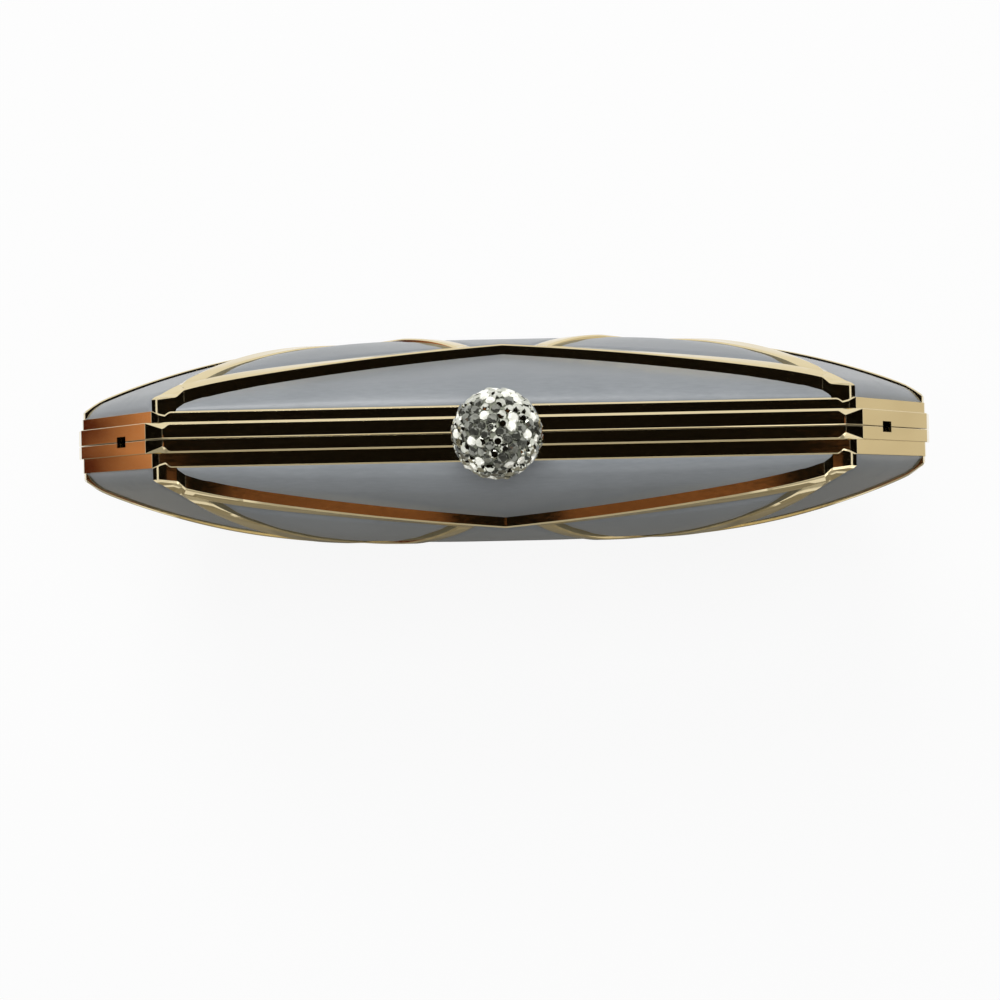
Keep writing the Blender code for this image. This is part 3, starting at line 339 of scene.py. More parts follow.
def satin_material():
    """Blue-grey satin: a dense diagonal twill with a soft sheen and faint shade drift."""
    made, tree, shader = principled("blue_grey_satin", {"Sheen Weight": 0.05, "Sheen Roughness": 0.4})
    weft = combine(tree, "MULTIPLY", threads(tree, -38, 1700.0), 0.45)
    weave = combine(tree, "ADD", threads(tree, 52, 2300.0), weft)
    slub = noise(tree, 2.2, stretch=(180.0, 900.0, 900.0))
    drift = combine(tree, "MULTIPLY", noise(tree, 45.0), 0.55)
    tone = combine(tree, "ADD", drift, combine(tree, "MULTIPLY", slub, 0.45))
    colour = shade(tree, remap(tree, tone, 0.0, 1.0), (0.150, 0.162, 0.172), (0.195, 0.208, 0.219))
    dress(shader, colour, remap(tree, slub, 0.29, 0.37), weave, TWILL_DEPTH, 0.30)
    return made


def lining_material():
    """Grey-beige lining cloth with a plain weave."""
    made, tree, shader = principled("lining_cloth", {"Sheen Weight": 0.2, "Sheen Roughness": 0.5})
    weave = combine(tree, "MULTIPLY", threads(tree, 0, 520.0, 0.3), threads(tree, 90, 520.0, 0.3))
    colour = shade(tree, noise(tree, 60.0), (0.24, 0.225, 0.21), (0.31, 0.29, 0.27))
    dress(shader, colour, remap(tree, weave, 0.55, 0.72, 0.0, 1.0), weave, WEAVE_DEPTH, 0.6)
    return made


def board_material():
    """Moulded board of the shells."""
    made, tree, shader = principled("shell_board", {})
    grain = noise(tree, 700.0, 4.0)
    colour = shade(tree, grain, (0.24, 0.21, 0.18), (0.34, 0.30, 0.26))
    dress(shader, colour, remap(tree, grain, 0.6, 0.8), grain, BOARD_DEPTH, 0.5)
    return made


def stone_material(name, dark, light, metal):
    """Foil-backed cut stones with painted sparkle: a mottle between a dark and a light colour over each
    stone paints bright and dark facet reflections into it; with fine polishing marks.
    """
    inputs = {"Metallic": metal, "Coat Weight": 0.6, "Coat Roughness": 0.02}
    made, tree, shader = principled(name, inputs)
    marks = noise(tree, 3000.0, 2.0)
    colour = shade(tree, noise(tree, 900.0, 1.0), dark, light)
    dress(shader, colour, remap(tree, marks, 0.03, 0.10), marks, FACET_DEPTH, 0.3)
    return made


def resin_material():
    """Dark setting resin between the stones."""
    made, tree, shader = principled("setting_resin", {})
    patch = noise(tree, 600.0)
    colour = shade(tree, patch, (0.05, 0.055, 0.04), (0.26, 0.27, 0.21))
    dress(shader, colour, remap(tree, patch, 0.25, 0.5), patch, RESIN_DEPTH, 0.6)
    return made


def outline_corners():
    """The eight corners as (x, z), counterclockwise from the right end of the lower edge."""
    right = [
        Vector((SHOULDER_HALF, 0.0)),
        Vector((HALF_LENGTH, CORNER_DROP)),
        Vector((HALF_LENGTH, HEIGHT - CORNER_DROP)),
        Vector((SHOULDER_HALF, HEIGHT)),
    ]
    return right + [Vector((-corner.x, corner.y)) for corner in reversed(right)]


def sides(points):
    """The sides of a closed line, as pairs of its points."""
    return zip(points, points[1:] + points[:1])


def inset_corners(inset):
    """The outline's corners, with each side moved inward."""
    lines = []
    for start, end in sides(outline_corners()):
        along = (end - start).normalized()
        lines.append((start + along.orthogonal() * inset, along))
    return [meeting(*lines[index - 1], *lines[index]) for index in range(len(lines))]


def meeting(start, along, other, other_along):
    """Where two lines meet, or the second line's start where they are parallel."""
    turn = along.x * other_along.y - along.y * other_along.x
    if abs(turn) < PARALLEL_TURN:
        return other.copy()
    gap = other - start
    return start + along * ((gap.x * other_along.y - gap.y * other_along.x) / turn)


def corner_sides(points):
    """Each corner of a closed line, with the directions to the ones before and after it."""
    for index, corner in enumerate(points):
        before = (points[index - 1] - corner).normalized()
        after = (points[(index + 1) % len(points)] - corner).normalized()
        yield corner, before, after


def rounded(points, radius):
    """A closed line with its corners rounded."""
    made = []
    for corner, before, after in corner_sides(points):
        reach = radius / math.tan(before.angle(after) / 2)
        start = corner + before * reach
        end = corner + after * reach
        for step in range(ROUND_STEPS + 1):
            share = step / ROUND_STEPS
            made.append(start * (1 - share) ** 2 + corner * 2 * share * (1 - share) + end * share**2)
    return made


def cut_corners(points, reach):
    """A closed line with each corner cut off at a distance on both of its sides."""
    made = []
    for corner, before, after in corner_sides(points):
        made += [corner + before * reach, corner + after * reach]
    return made


def cut_outline(inset, reach):
    """The outline drawn in by an inset, with cut corners, as (x, z) points."""
    return cut_corners(inset_corners(inset), reach)


def slope_line():
    """The upper right slope's outward direction and its distance from the middle."""
    normal = Vector((CORNER_DROP, SLOPE_RUN)).normalized()
    return normal, HALF_LENGTH * normal.x + (MIDDLE - CORNER_DROP) * normal.y


def border_distance(x, z):
    """Distance in the front view from a point inside the outline to its nearest side."""
    normal, reach = slope_line()
    up = abs(z - MIDDLE)
    return min(MIDDLE - up, HALF_LENGTH - abs(x), reach - abs(x) * normal.x - up * normal.y)


def share_out(x, z):
    """0 in the middle of the outline and 1 on it, along every way out."""
    normal, reach = slope_line()
    up = abs(z - MIDDLE)
    shares = (up / MIDDLE, abs(x) / HALF_LENGTH, (abs(x) * normal.x + up * normal.y) / reach)
    return min(sum(share**CORNER_POWER for share in shares) ** (1 / CORNER_POWER), 1.0)


def bar_top(u):
    """Depth of the lattice's outer face."""
    return BAR_EDGE_Y + (BAR_BELLY_Y - BAR_EDGE_Y) * (1 - u**BELLY_POWER)


def bar_height(u):
    """How far the bars stand above the satin beside them."""
    return BAR_HEIGHT_MID + (BAR_HEIGHT_EDGE - BAR_HEIGHT_MID) * u**2


def satin_top(u):
    """Depth of the satin where it meets the bars."""
    return bar_top(u) - bar_height(u)


def bar_face(x, z):
    """Depth of a bar's outer face at a place, lower where its foot meets the rim."""
    share = min(max(1 - (border_distance(x, z) - STEP_DROP) / FOOT_REACH, 0.0), 1.0)
    at_shoulder = abs(z - MIDDLE) > (HEIGHT - CORNER_DROP) / 2
    drop = SHOULDER_FOOT_DROP if at_shoulder else END_FOOT_DROP
    return bar_top(share_out(x, z)) - drop * (1 - math.sqrt(1 - share**2))


def ease(share):
    """A smooth step from 0 to 1."""
    share = min(max(share, 0.0), 1.0)
    return share**2 * (3 - 2 * share)


def in_fan(x, z):
    """Whether a place is in one of the two wide windows between the shoulders."""
    nodes = lattice_nodes()
    shoulder, kink, fork = (nodes[f"upper_right_{label}"] for label in ("shoulder", "kink", "fork"))
    across = abs(x)
    up = MIDDLE + abs(z - MIDDLE)
    for start, end in ((fork, kink), (kink, shoulder)):
        along = end - start
        if along.x * (up - start.y) - along.y * (across - start.x) < 0:
            return False
    return True


def satin_swell(x, z, distance):
    """How far the satin swells at a distance from the nearest bar's middle line."""
    if in_fan(x, z):
        return FAN_SWELL * ease(distance / FAN_SWELL_REACH)
    rise = ease((distance - BAR_WIDTH / 2) / WINDOW_SWELL_REACH)
    return bar_height(share_out(x, z)) * WINDOW_SWELL_SHARE * rise


def satin_face(x, z, swollen=True):
    """Depth of the satin's outer face, which is tucked in along the rim."""
    inside = border_distance(x, z) - SATIN_INSET
    level = satin_top(share_out(x, z))
    if swollen:
        level += satin_swell(x, z, bar_distance(x, z))
    share = min(max(inside / SATIN_FALL, 0.0), 1.0)
    return RIM_DEPTH + (level - RIM_DEPTH) * math.sqrt(1 - (1 - share) ** 2)


def pucker(x, z):
    """Small wrinkles of the satin that run square to the rim and fade away from it."""
    inside = max(border_distance(x, z) - SATIN_INSET, 0.0)
    around = x + z * CORNER_DROP / HALF_LENGTH if abs(z - MIDDLE) > MIDDLE - CORNER_DROP else z
    waves = [math.sin(math.tau * around / length + index) for index, length in enumerate(PUCKER_LENGTHS)]
    fading = math.exp(-inside / PUCKER_REACH) * ease(inside / SATIN_FALL * PUCKER_STEEPNESS)
    return PUCKER_HEIGHT * sum(waves) / len(waves) * fading


@functools.cache
def lattice_nodes():
    """The named points of the lattice, as (x, z)."""
    kink_x = SHOULDER_HALF * KINK_X_SHARE
    kink_rise = MIDDLE * (1 - KINK_DEPTH_SHARE)
    apex_rise = MIDDLE * (1 - APEX_DEPTH_SHARE)
    fork_rise = apex_rise + (kink_rise - apex_rise) * FORK_X_SHARE
    quarter = {
        "shoulder": (SHOULDER_HALF, MIDDLE),
        "end": (HALF_LENGTH, MIDDLE - CORNER_DROP),
        "kink": (kink_x, kink_rise),
        "fork": (kink_x * FORK_X_SHARE, fork_rise),
    }
    nodes = {"centre": Vector((0.0, MIDDLE))}
    for level, up in LEVELS.items():
        nodes[f"{level}_apex"] = Vector((0.0, MIDDLE + up * apex_rise))
        for hand, out in HANDS.items():
            for label, (x, rise) in quarter.items():
                nodes[f"{level}_{hand}_{label}"] = Vector((out * x, MIDDLE + up * rise))
            nodes[f"{hand}_side"] = Vector((out * HALF_LENGTH * SIDE_NODE_X_SHARE, MIDDLE))
    return nodes


def quarter_names(level, hand):
    """The names of one quarter's points: shoulder, end, kink, fork, side and apex."""
    own = [f"{level}_{hand}_{label}" for label in ("shoulder", "end", "kink", "fork")]
    return (*own, f"{hand}_side", f"{level}_apex")


def lattice_bars():
    """The bars as pairs of point names."""
    bars = []
    for level in LEVELS:
        for hand in HANDS:
            shoulder, end, kink, fork, side, apex = quarter_names(level, hand)
            bars += [(shoulder, kink), (kink, fork), (fork, apex)]
            bars += [(kink, side), (fork, side), (end, side)]
    return bars


def net_triangles():
    """The outline cut into triangles of point names."""
    triangles = []
    for level in LEVELS:
        triangles.append((f"{level}_left_shoulder", f"{level}_right_shoulder", f"{level}_apex"))
        for hand in HANDS:
            shoulder, end, kink, fork, side, apex = quarter_names(level, hand)
            triangles += [(shoulder, kink, fork), (shoulder, fork, apex), (kink, side, fork)]
            triangles += [(kink, shoulder, end), (kink, end, side)]
            triangles += [(fork, side, "centre"), (fork, apex, "centre")]
    for hand in HANDS:
        triangles.append((f"{hand}_side", f"lower_{hand}_end", f"upper_{hand}_end"))
    return triangles


def add_object(name, data):
    """A new object in the scene."""
    made = bpy.data.objects.new(name, data)
    bpy.context.scene.collection.objects.link(made)
    return made


def mesh_object(name, bm, finish=None):
    """An object from a bmesh, with its faces outward and its finish on."""
    bmesh.ops.recalc_face_normals(bm, faces=bm.faces[:])
    if bm.calc_volume(signed=True) < 0:
        bmesh.ops.reverse_faces(bm, faces=bm.faces[:])
    mesh = bpy.data.meshes.new(name)
    bm.to_mesh(mesh)
    bm.free()
    made = add_object(name, mesh)
    if finish is not None:
        mesh.materials.append(finish)
    return made


def smooth(obj, angle, weighted=False):
    """Smooth the shading up to an angle; weighted keeps broad faces flat beside rounded edges."""
    obj.data.shade_smooth()
    obj.data.set_sharp_from_angle(angle=angle)
    if weighted:
        modifier = obj.modifiers.new("weighted", "WEIGHTED_NORMAL")
        modifier.keep_sharp = True
        modifier.weight = 100


def cut(obj, cutter):
    """Cut one object out of another, and remove the cutter."""
    modifier = obj.modifiers.new("cut", "BOOLEAN")
    modifier.operation = "DIFFERENCE"
    modifier.solver = "EXACT"
    modifier.object = cutter
    graph = bpy.context.evaluated_depsgraph_get()
    mesh = bpy.data.meshes.new_from_object(obj.evaluated_get(graph))
    obj.modifiers.remove(modifier)
    old = obj.data
    obj.data = mesh
    bpy.data.meshes.remove(old)
    bpy.data.objects.remove(cutter)


def corner_polish(loop):
    """For each point of a loop, its shares of the polished and of the soft section."""
    made = []
    for point in loop:
        near = max(1 - abs(abs(point.x) - POLISH_X) / POLISHED_REACH, 0.0)
        level = abs(point.y - MIDDLE) > MIDDLE - CORNER_DROP / 4
        polish = ease(near) if level and abs(point.x) < SHOULDER_HALF else 0.0
        made.append((polish, 1.0 if abs(point.x) > SHOULDER_HALF else 0.0))
    return made


def with_stops(loop):
    """A loop with points added on its long level sides, where the polish of the corners starts."""
    made = []
    for start, end in sides(loop):
        made.append(start)
        if abs(end.x - start.x) > SHOULDER_HALF:
            hand = 1 if start.x > 0 else -1
            stops = [hand * (POLISH_X - POLISHED_REACH * share) for share in POLISH_STOP_SHARES]
            stops += [-stop for stop in reversed(stops)]
            made += [Vector((stop, start.y)) for stop in stops]
    return made


def swept_ring(name, plain, polished, soft, side, finish):
    """An (inset, depth) section carried round the outline and blended into two others by place."""
    bm = bmesh.new()
    rings = []
    for sections in zip(plain, polished, soft):
        reach = RIB_CORNER_REACH if sections[0].x < STEP_DROP / 2 else STEP_CORNER_REACH
        loops = [rounded(cut_outline(inset, reach), EDGE_ROUNDING) for inset, _ in sections]
        loops = [with_stops(loop) for loop in loops]
        ring = []
        for index, (polish, softness) in enumerate(corner_polish(loops[0])):
            shares = (1 - polish - softness, polish, softness)
            x, z = sum((loop[index] * share for loop, share in zip(loops, shares)), Vector((0.0, 0.0)))
            depth = sum(section.y * share for section, share in zip(sections, shares))
            ring.append(bm.verts.new((x, side * depth, z)))
        rings.append(ring)
    for ring, after in sides(rings):
        join_rings(bm, ring, after)
    return mesh_object(name, bm, finish)


def join_rings(bm, ring, after):
    """The faces between two closed rings of points."""
    for (here, beside), (there, across) in zip(sides(ring), sides(after)):
        bm.faces.new((here, beside, across, there))


def facing(outward):
    """A matrix that turns Z into a direction."""
    return outward.to_track_quat("Z", "Y").to_matrix().to_4x4()


def polar(reach, angle, height=0.0):
    """A point at a distance from the Z axis, an angle round it and a height."""
    return Vector((reach * math.cos(angle), reach * math.sin(angle), height))


def cylinder(name, radius, start, end):
    """A cylinder between two points."""
    along = Vector(end) - Vector(start)
    place = Matrix.Translation((Vector(start) + Vector(end)) / 2) @ facing(along)
    sizes = {"radius1": radius, "radius2": radius, "depth": along.length}
    bm = bmesh.new()
    bmesh.ops.create_cone(bm, cap_ends=True, segments=BARREL_STEPS, matrix=place, **sizes)
    return mesh_object(name, bm)


def box(name, low, high, turn=Matrix()):
    """A box between two corners, moved by a matrix."""
    low = Vector(low)
    high = Vector(high)
    place = Matrix.Translation((low + high) / 2) @ Matrix.Diagonal((*(high - low), 1.0))
    bm = bmesh.new()
    bmesh.ops.create_cube(bm, size=1.0, matrix=place)
    bmesh.ops.transform(bm, matrix=turn, verts=bm.verts[:])
    return mesh_object(name, bm)


def take_in(obj, other, width):
    """Bevel another object's sharp edges, take its mesh into an object, and remove it."""
    bm = bmesh.new()
    bm.from_mesh(other.data)
    sharp = [edge for edge in bm.edges if edge.calc_face_angle(0.0) > SOFTENED_ANGLE]
    bmesh.ops.bevel(bm, geom=sharp, offset=width, segments=3, affect="EDGES", profile=0.5)
    bm.to_mesh(other.data)
    bm.clear()
    bm.from_mesh(obj.data)
    bm.from_mesh(other.data)
    bm.to_mesh(obj.data)
    bm.free()
    bpy.data.objects.remove(other)


def rim_section(label, flat, seam_flat):
    """The rim's section, with its outer edges and its seam bevelled by (depth, inset) flats."""
    seam = SEAM_GAP / 2
    rib = FRONT_RIB_DEPTH if label == "front" else BACK_RIB_DEPTH
    down, over = flat
    seam_down, seam_over = seam_flat
    points = [
        (seam_over, seam),
        (0.0, seam + seam_down),
        (0.0, rib - down),
        (over, rib),
        (STEP_DROP, rib),
        (STEP_DROP, RIM_DEPTH - down),
        (STEP_DROP + over, RIM_DEPTH),
        (WALL_INSET, RIM_DEPTH),
        (WALL_INSET, seam),
    ]
    return rounded([Vector(point) for point in points], FLAT_ROUNDING)


def knuckle_spans(side):
    """The stretches of X that one half's knuckles fill."""
    pitch = KNUCKLE_LENGTH + KNUCKLE_GAP
    places = (0,) if side == HALVES["front"] else (-1, 1)
    spans = []
    for middle in (-HINGE_X, HINGE_X):
        for place in places:
            start = middle + place * pitch - KNUCKLE_LENGTH / 2
            spans.append((start, start + KNUCKLE_LENGTH))
    return spans


def corner_frame(hand):
    """A matrix at the middle of an upper sloping end, with Z square out of it."""
    slope = math.atan2(CORNER_DROP, SLOPE_RUN)
    middle = Vector((hand * (HALF_LENGTH + SHOULDER_HALF) / 2, 0.0, HEIGHT - CORNER_DROP / 2))
    return Matrix.Translation(middle) @ Matrix.Rotation(hand * slope, 4, "Y")


def hinge_barrel(radius, start, end):
    """A cylinder on the hinge line."""
    return cylinder("barrel", radius, (start, 0.0, HINGE_Z), (end, 0.0, HINGE_Z))


def make_rim(label, side, finish):
    """The ribbed rim of one half, with its holes, hinge groove, base strip and knuckles."""
    plain = rim_section(label, EDGE_FLAT[label], SEAM_FLAT[label])
    polished = rim_section(label, POLISHED_FLAT, SEAM_FLAT[label])
    soft = rim_section(label, END_FLAT, END_FLAT)
    rim = swept_ring(f"{label}_rim", plain, polished, soft, side, finish)
    stem_low = (KNOB_X, KNOB_Y, HEIGHT - WALL_INSET - OVERRUN)
    cut(rim, cylinder("stem_hole", STEM_HOLE_RADIUS, stem_low, (KNOB_X, KNOB_Y, HEIGHT + OVERRUN)))
    length = math.hypot(CORNER_DROP, SLOPE_RUN)
    long = CHAIN_HOLE_LENGTH / 2
    wide = CHAIN_HOLE_WIDTH / 2
    for hand in HANDS.values():
        along = length * (CHAIN_HOLE_SHARE - 0.5) * hand
        low = (along - long, -wide, -WALL_INSET - OVERRUN)
        cut(rim, box("chain_hole", low, (along + long, wide, OVERRUN), corner_frame(hand)))
    cut(rim, hinge_groove())
    spare = KNUCKLE_GAP / 2
    for start, end in knuckle_spans(-side):
        cut(rim, hinge_barrel(KNUCKLE_RADIUS + KNUCKLE_GAP, start - spare, end + spare))
    for start, end in knuckle_spans(side):
        take_in(rim, hinge_barrel(KNUCKLE_RADIUS, start, end), KNUCKLE_RADIUS / 10)
    inner = side * (FRONT_RIB_DEPTH - BASE_ROUNDING)
    outer = side * (RIM_DEPTH - BASE_ROUNDING)
    low = (-BASE_HALF_LENGTH, min(inner, outer), BASE_LIFT)
    high = (BASE_HALF_LENGTH, max(inner, outer), STEP_DROP + BASE_ROUNDING)
    take_in(rim, box("strip", low, high), BASE_ROUNDING / 2)
    smooth(rim, RIM_SMOOTH_ANGLE, True)
    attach(rim, f"{label}_half")
    return rim


def hinge_groove():
    """The wedge-shaped cutter that lets the halves turn about the hinge."""
    deep = HINGE_Z + OVERRUN
    wide = deep * math.tan(GROOVE_HALF_ANGLE)
    section = ((0.0, HINGE_Z), (-wide, -OVERRUN), (wide, -OVERRUN))
    bm = bmesh.new()
    face = bm.faces.new([bm.verts.new((-HALF_LENGTH, y, z)) for y, z in section])
    made = bmesh.ops.extrude_face_region(bm, geom=[face])
    ends = [item for item in made["geom"] if isinstance(item, bmesh.types.BMVert)]
    bmesh.ops.translate(bm, verts=ends, vec=(2 * HALF_LENGTH, 0.0, 0.0))
    return mesh_object("hinge_groove", bm)


def around(name):
    """The bars that leave a node, as (direction, bar index), in order of angle."""
    nodes = lattice_nodes()
    leaving = []
    for index, (first, second) in enumerate(lattice_bars()):
        if name in (first, second):
            other = second if name == first else first
            leaving.append(((nodes[other] - nodes[name]).normalized(), index))
    return sorted(leaving, key=lambda item: math.atan2(item[0].y, item[0].x))


def outline_exit(point, outward, loop):
    """Where a line from inside a closed counterclockwise line first crosses it."""
    reached = []
    for corner, after in sides(loop):
        out = -(after - corner).normalized().orthogonal()
        if out.dot(outward) > PARALLEL_TURN:
            reached.append((corner - point).dot(out) / out.dot(outward))
    return point + outward * min(reached)


def foot_points(place, along, half_width, inset):
    """The end of a bar on the rim, from left to right round the outline's cut corner."""
    left = along.orthogonal()
    loop = cut_outline(inset, STEP_CORNER_REACH)
    inside = place + along * BAR_WIDTH * 2
    near = [point for point in loop if (point - place).length < BAR_WIDTH]
    near = [point for point in near if abs((point - place).dot(left)) < half_width]
    near.sort(key=lambda point: -(point - place).dot(left))
    first = outline_exit(inside + left * half_width, -along, loop)
    last = outline_exit(inside - left * half_width, -along, loop)
    return [first, *near, last]


def mitre_points(place, leaving, order, half_width):
    """The left, middle and right points of a bar's end where it meets the bars beside it."""
    along = leaving[order][0]
    left = along.orthogonal() * half_width
    after = leaving[(order + 1) % len(leaving)][0]
    before = leaving[order - 1][0]
    first = meeting(place - after.orthogonal() * half_width, after, place + left, along)
    last = meeting(place + before.orthogonal() * half_width, before, place - left, along)
    return [first, place, last]


def bar_ends(half_width, inset):
    """Each bar end's points in the front view, from left to right as seen leaving the node."""
    ends = {}
    for name, place in lattice_nodes().items():
        leaving = around(name)
        for order, (along, index) in enumerate(leaving):
            if len(leaving) == 1:
                ends[name, index] = foot_points(place, along, half_width, inset)
            else:
                ends[name, index] = mitre_points(place, leaving, order, half_width)
    return ends


def flatness(x, z):
    """How far a bar's face keeps one depth across its width, by place."""
    near_rim = ease((share_out(x, z) - FLATNESS_START_SHARE) / FLATNESS_SPAN_SHARE)
    return BAR_FLATNESS - (BAR_FLATNESS - FOOT_FLATNESS) * near_rim


def bar_depth(point, spine):
    """Depth of a bar's outer face at a point beside a point of its middle line."""
    flat = flatness(*spine)
    return bar_face(*point) * (1 - flat) + bar_face(*spine) * flat


def node_levels(nodes, points):
    """Depth of the lattice's face where bars meet, from the points round each node."""
    depths = {}
    for (name, _), row in points.items():
        if not name.endswith(("shoulder", "end")):
            depths.setdefault(name, []).extend(bar_depth(row[end], nodes[name]) for end in (0, -1))
    return {name: sum(found) / len(found) for name, found in depths.items()}


def bar_row(bm, side, wide, narrow, spine):
    """The points of a bar's section: top, side edges under the bevel, and underside."""
    top = [bm.verts.new((point.x, side * bar_depth(point, spine), point.y)) for point in narrow]
    rim = []
    low = []
    for point in wide:
        rim.append(bm.verts.new((point.x, side * (bar_depth(point, spine) - BAR_BEVEL), point.y)))
        low.append(bm.verts.new((point.x, side * (satin_face(*point, False) - BAR_SINK), point.y)))
    return top, rim, low


def make_lattice(label, side, finish):
    """The lattice of one half: bevelled bars, mitred where they meet, with feet on the rim."""
    nodes = lattice_nodes()
    wide = bar_ends(BAR_WIDTH / 2, FOOT_INSET)
    narrow = bar_ends(BAR_WIDTH / 2 - BAR_BEVEL, FOOT_INSET + BAR_BEVEL)
    levels = node_levels(nodes, narrow)
    bm = bmesh.new()
    for index, (first, second) in enumerate(lattice_bars()):
        foot = first.endswith(("shoulder", "end"))
        starts = (wide[first, index], narrow[first, index])
        finishes = (wide[second, index][::-1], narrow[second, index][::-1])
        rows = [bar_row(bm, side, *starts, nodes[first])]
        for step in range(1, BAR_ROWS + 1):
            share = step / BAR_ROWS
            points = []
            for start, end in zip(starts, finishes):
                middle = (start[0] + start[-1]) / 2 if foot else start[1]
                across = (start[0], middle, start[-1])
                points.append([one.lerp(other, share) for one, other in zip(across, end)])
            spine = nodes[first].lerp(nodes[second], share)
            rows.append(bar_row(bm, side, *points, spine))
        for top, _, _ in rows[1:-1]:
            top[1].co.y = (top[0].co.y + top[2].co.y) / 2
        for name, (top, _, _) in ((first, rows[0]), (second, rows[-1])):
            if name in levels:
                top[1].co.y = side * levels[name]
        for row, after in zip(rows, rows[1:]):
            join_rows(bm, row, after)
        if foot:
            top, rim, low = rows[0]
            bm.faces.new((*top, *reversed(rim)))
            for one in range(len(rim) - 1):
                bm.faces.new((rim[one], rim[one + 1], low[one + 1], low[one]))
    bmesh.ops.remove_doubles(bm, verts=bm.verts[:], dist=BAR_BEVEL / 50)
    lattice = mesh_object(f"{label}_lattice", bm, finish)
    smooth(lattice, BAR_SMOOTH_ANGLE, True)
    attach(lattice, f"{label}_half")
    return lattice


def join_rows(bm, row, after):
    """The faces between two rows of a bar, of which the first may have more points."""
    top, rim, low = row
    next_top, next_rim, next_low = after
    for one, other in ((top, next_top), (low, next_low)):
        half = len(one) // 2
        bm.faces.new((*one[: half + 1], other[1], other[0]))
        bm.faces.new((*one[half:], other[2], other[1]))
    for here in (0, -1):
        bm.faces.new((top[here], rim[here], next_rim[here], next_top[here]))
        bm.faces.new((rim[here], low[here], next_low[here], next_rim[here]))


def bar_distance(x, z):
    """Distance in the front view from a point to the nearest bar's middle line."""
    least = HALF_LENGTH
    for start_x, start_z, along_x, along_z, squared in bar_lines():
        share = min(max(((x - start_x) * along_x + (z - start_z) * along_z) / squared, 0.0), 1.0)
        least = min(least, math.hypot(x - start_x - along_x * share, z - start_z - along_z * share))
    return least


@functools.cache
def bar_lines():
    """Each bar's middle line in the front view: its start, its run and the square of its length."""
    nodes = lattice_nodes()
    lines = []
    for first, second in lattice_bars():
        along = nodes[second] - nodes[first]
        lines.append((*nodes[first], *along, along.length_squared))
    return lines


def flat_net():
    """The outline as a flat net of triangles."""
    bm = bmesh.new()
    corners = {label: bm.verts.new((place.x, 0.0, place.y)) for label, place in lattice_nodes().items()}
    for labels in net_triangles():
        bm.faces.new([corners[label] for label in labels])
    bmesh.ops.subdivide_edges(bm, edges=bm.edges[:], cuts=LINING_NET_CUTS, use_grid_fill=True)
    bmesh.ops.triangulate(bm, faces=bm.faces[:])
    return bm


def spaced(loop):
    """A closed line with points added, up to the satin's spacing apart."""
    made = []
    for start, end in sides(loop):
        steps = max(math.ceil((end - start).length / SATIN_SPACING), 1)
        made += [start.lerp(end, step / steps) for step in range(steps)]
    return made


def satin_plan():
    """The satin in the front view, as points and triangles: a grid inside rings along its border."""
    points = []
    edges = []
    for inset in SATIN_RING_INSETS:
        start = len(points)
        points += spaced(cut_outline(SATIN_INSET + inset, STEP_CORNER_REACH))
        edges += sides([*range(start, len(points))])
    clear = SATIN_INSET + SATIN_RING_INSETS[-1] + SATIN_SPACING
    columns = math.ceil(HALF_LENGTH / SATIN_SPACING)
    rows = math.ceil(MIDDLE / SATIN_SPACING)
    for column in range(-columns, columns + 1):
        for row in range(-rows, rows + 1):
            shift = SATIN_SPACING / 2 if row % 2 else 0.0
            x = column * SATIN_SPACING + shift
            z = MIDDLE + row * SATIN_SPACING * math.sqrt(3) / 2
            if border_distance(x, z) > clear:
                points.append(Vector((x, z)))
    verts, _, faces, *_ = geometry.delaunay_2d_cdt(points, edges, [], 1, SATIN_SPACING / 1000)
    return verts, faces


def make_satin(label, side, finish):
    """The satin over one half, with wadding that fills it out between the bars."""
    places, triangles = satin_plan()
    bm = bmesh.new()
    outer = []
    inner = []
    for x, z in places:
        depth = satin_face(x, z)
        outer.append(bm.verts.new((x, side * (depth + pucker(x, z)), z)))
        least = RIM_DEPTH - SATIN_THICKNESS / 2
        if border_distance(x, z) > WALL_INSET + LAYER_GAP:
            least -= SATIN_THICKNESS
        under = max(min(depth, satin_face(x, z, False)) - SATIN_THICKNESS, least)
        inner.append(bm.verts.new((x, side * under, z)))
    for triangle in triangles:
        bm.faces.new([outer[one] for one in triangle])
        bm.faces.new([inner[one] for one in reversed(triangle)])
    bmesh.ops.bridge_loops(bm, edges=[edge for edge in bm.edges if edge.is_boundary])
    satin = mesh_object(f"{label}_satin", bm, finish)
    satin.data.shade_smooth()
    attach(satin, f"{label}_half")
    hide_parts(f"{label}_satin_cover")


def make_lining(label, side, finish):
    """The cloth inside one half: a curved wall under the satin and the shell."""
    bm = flat_net()
    outer = list(bm.verts)
    made = bmesh.ops.extrude_face_region(bm, geom=bm.faces[:], use_keep_orig=True)
    inner = [item for item in made["geom"] if isinstance(item, bmesh.types.BMVert)]
    above = SATIN_THICKNESS + SHELL_THICKNESS
    gaps = 2 * LAYER_GAP
    for verts, solid in ((outer, above), (inner, above + LINING_THICKNESS)):
        inset = WALL_INSET + LAYER_GAP + solid + gaps
        for vert in verts:
            u = share_out(vert.co.x, vert.co.z)
            thinned = solid * (1 - (1 - EDGE_THICKNESS_SHARE) * u**2)
            vert.co.y = side * (satin_top(u) - thinned - gaps)
            vert.co.x *= (HALF_LENGTH - inset) / HALF_LENGTH
            vert.co.z = MIDDLE + (vert.co.z - MIDDLE) * (MIDDLE - inset) / MIDDLE
    lining = mesh_object(f"{label}_lining_cloth", bm, finish)
    lining.data.shade_smooth()
    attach(lining, f"{label}_half")
    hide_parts(f"{label}_lining")


def spread(count):
    """Directions spread evenly over a sphere, down to the ball's flat underside."""
    golden = math.pi * (3 - math.sqrt(5))
    made = []
    for index in range(count):
        z = 1 - 2 * (index + 0.5) / count
        if z < LOWEST_STONE_SHARE:
            break
        made.append(polar(math.sqrt(1 - z * z), index * golden, z))
    return made


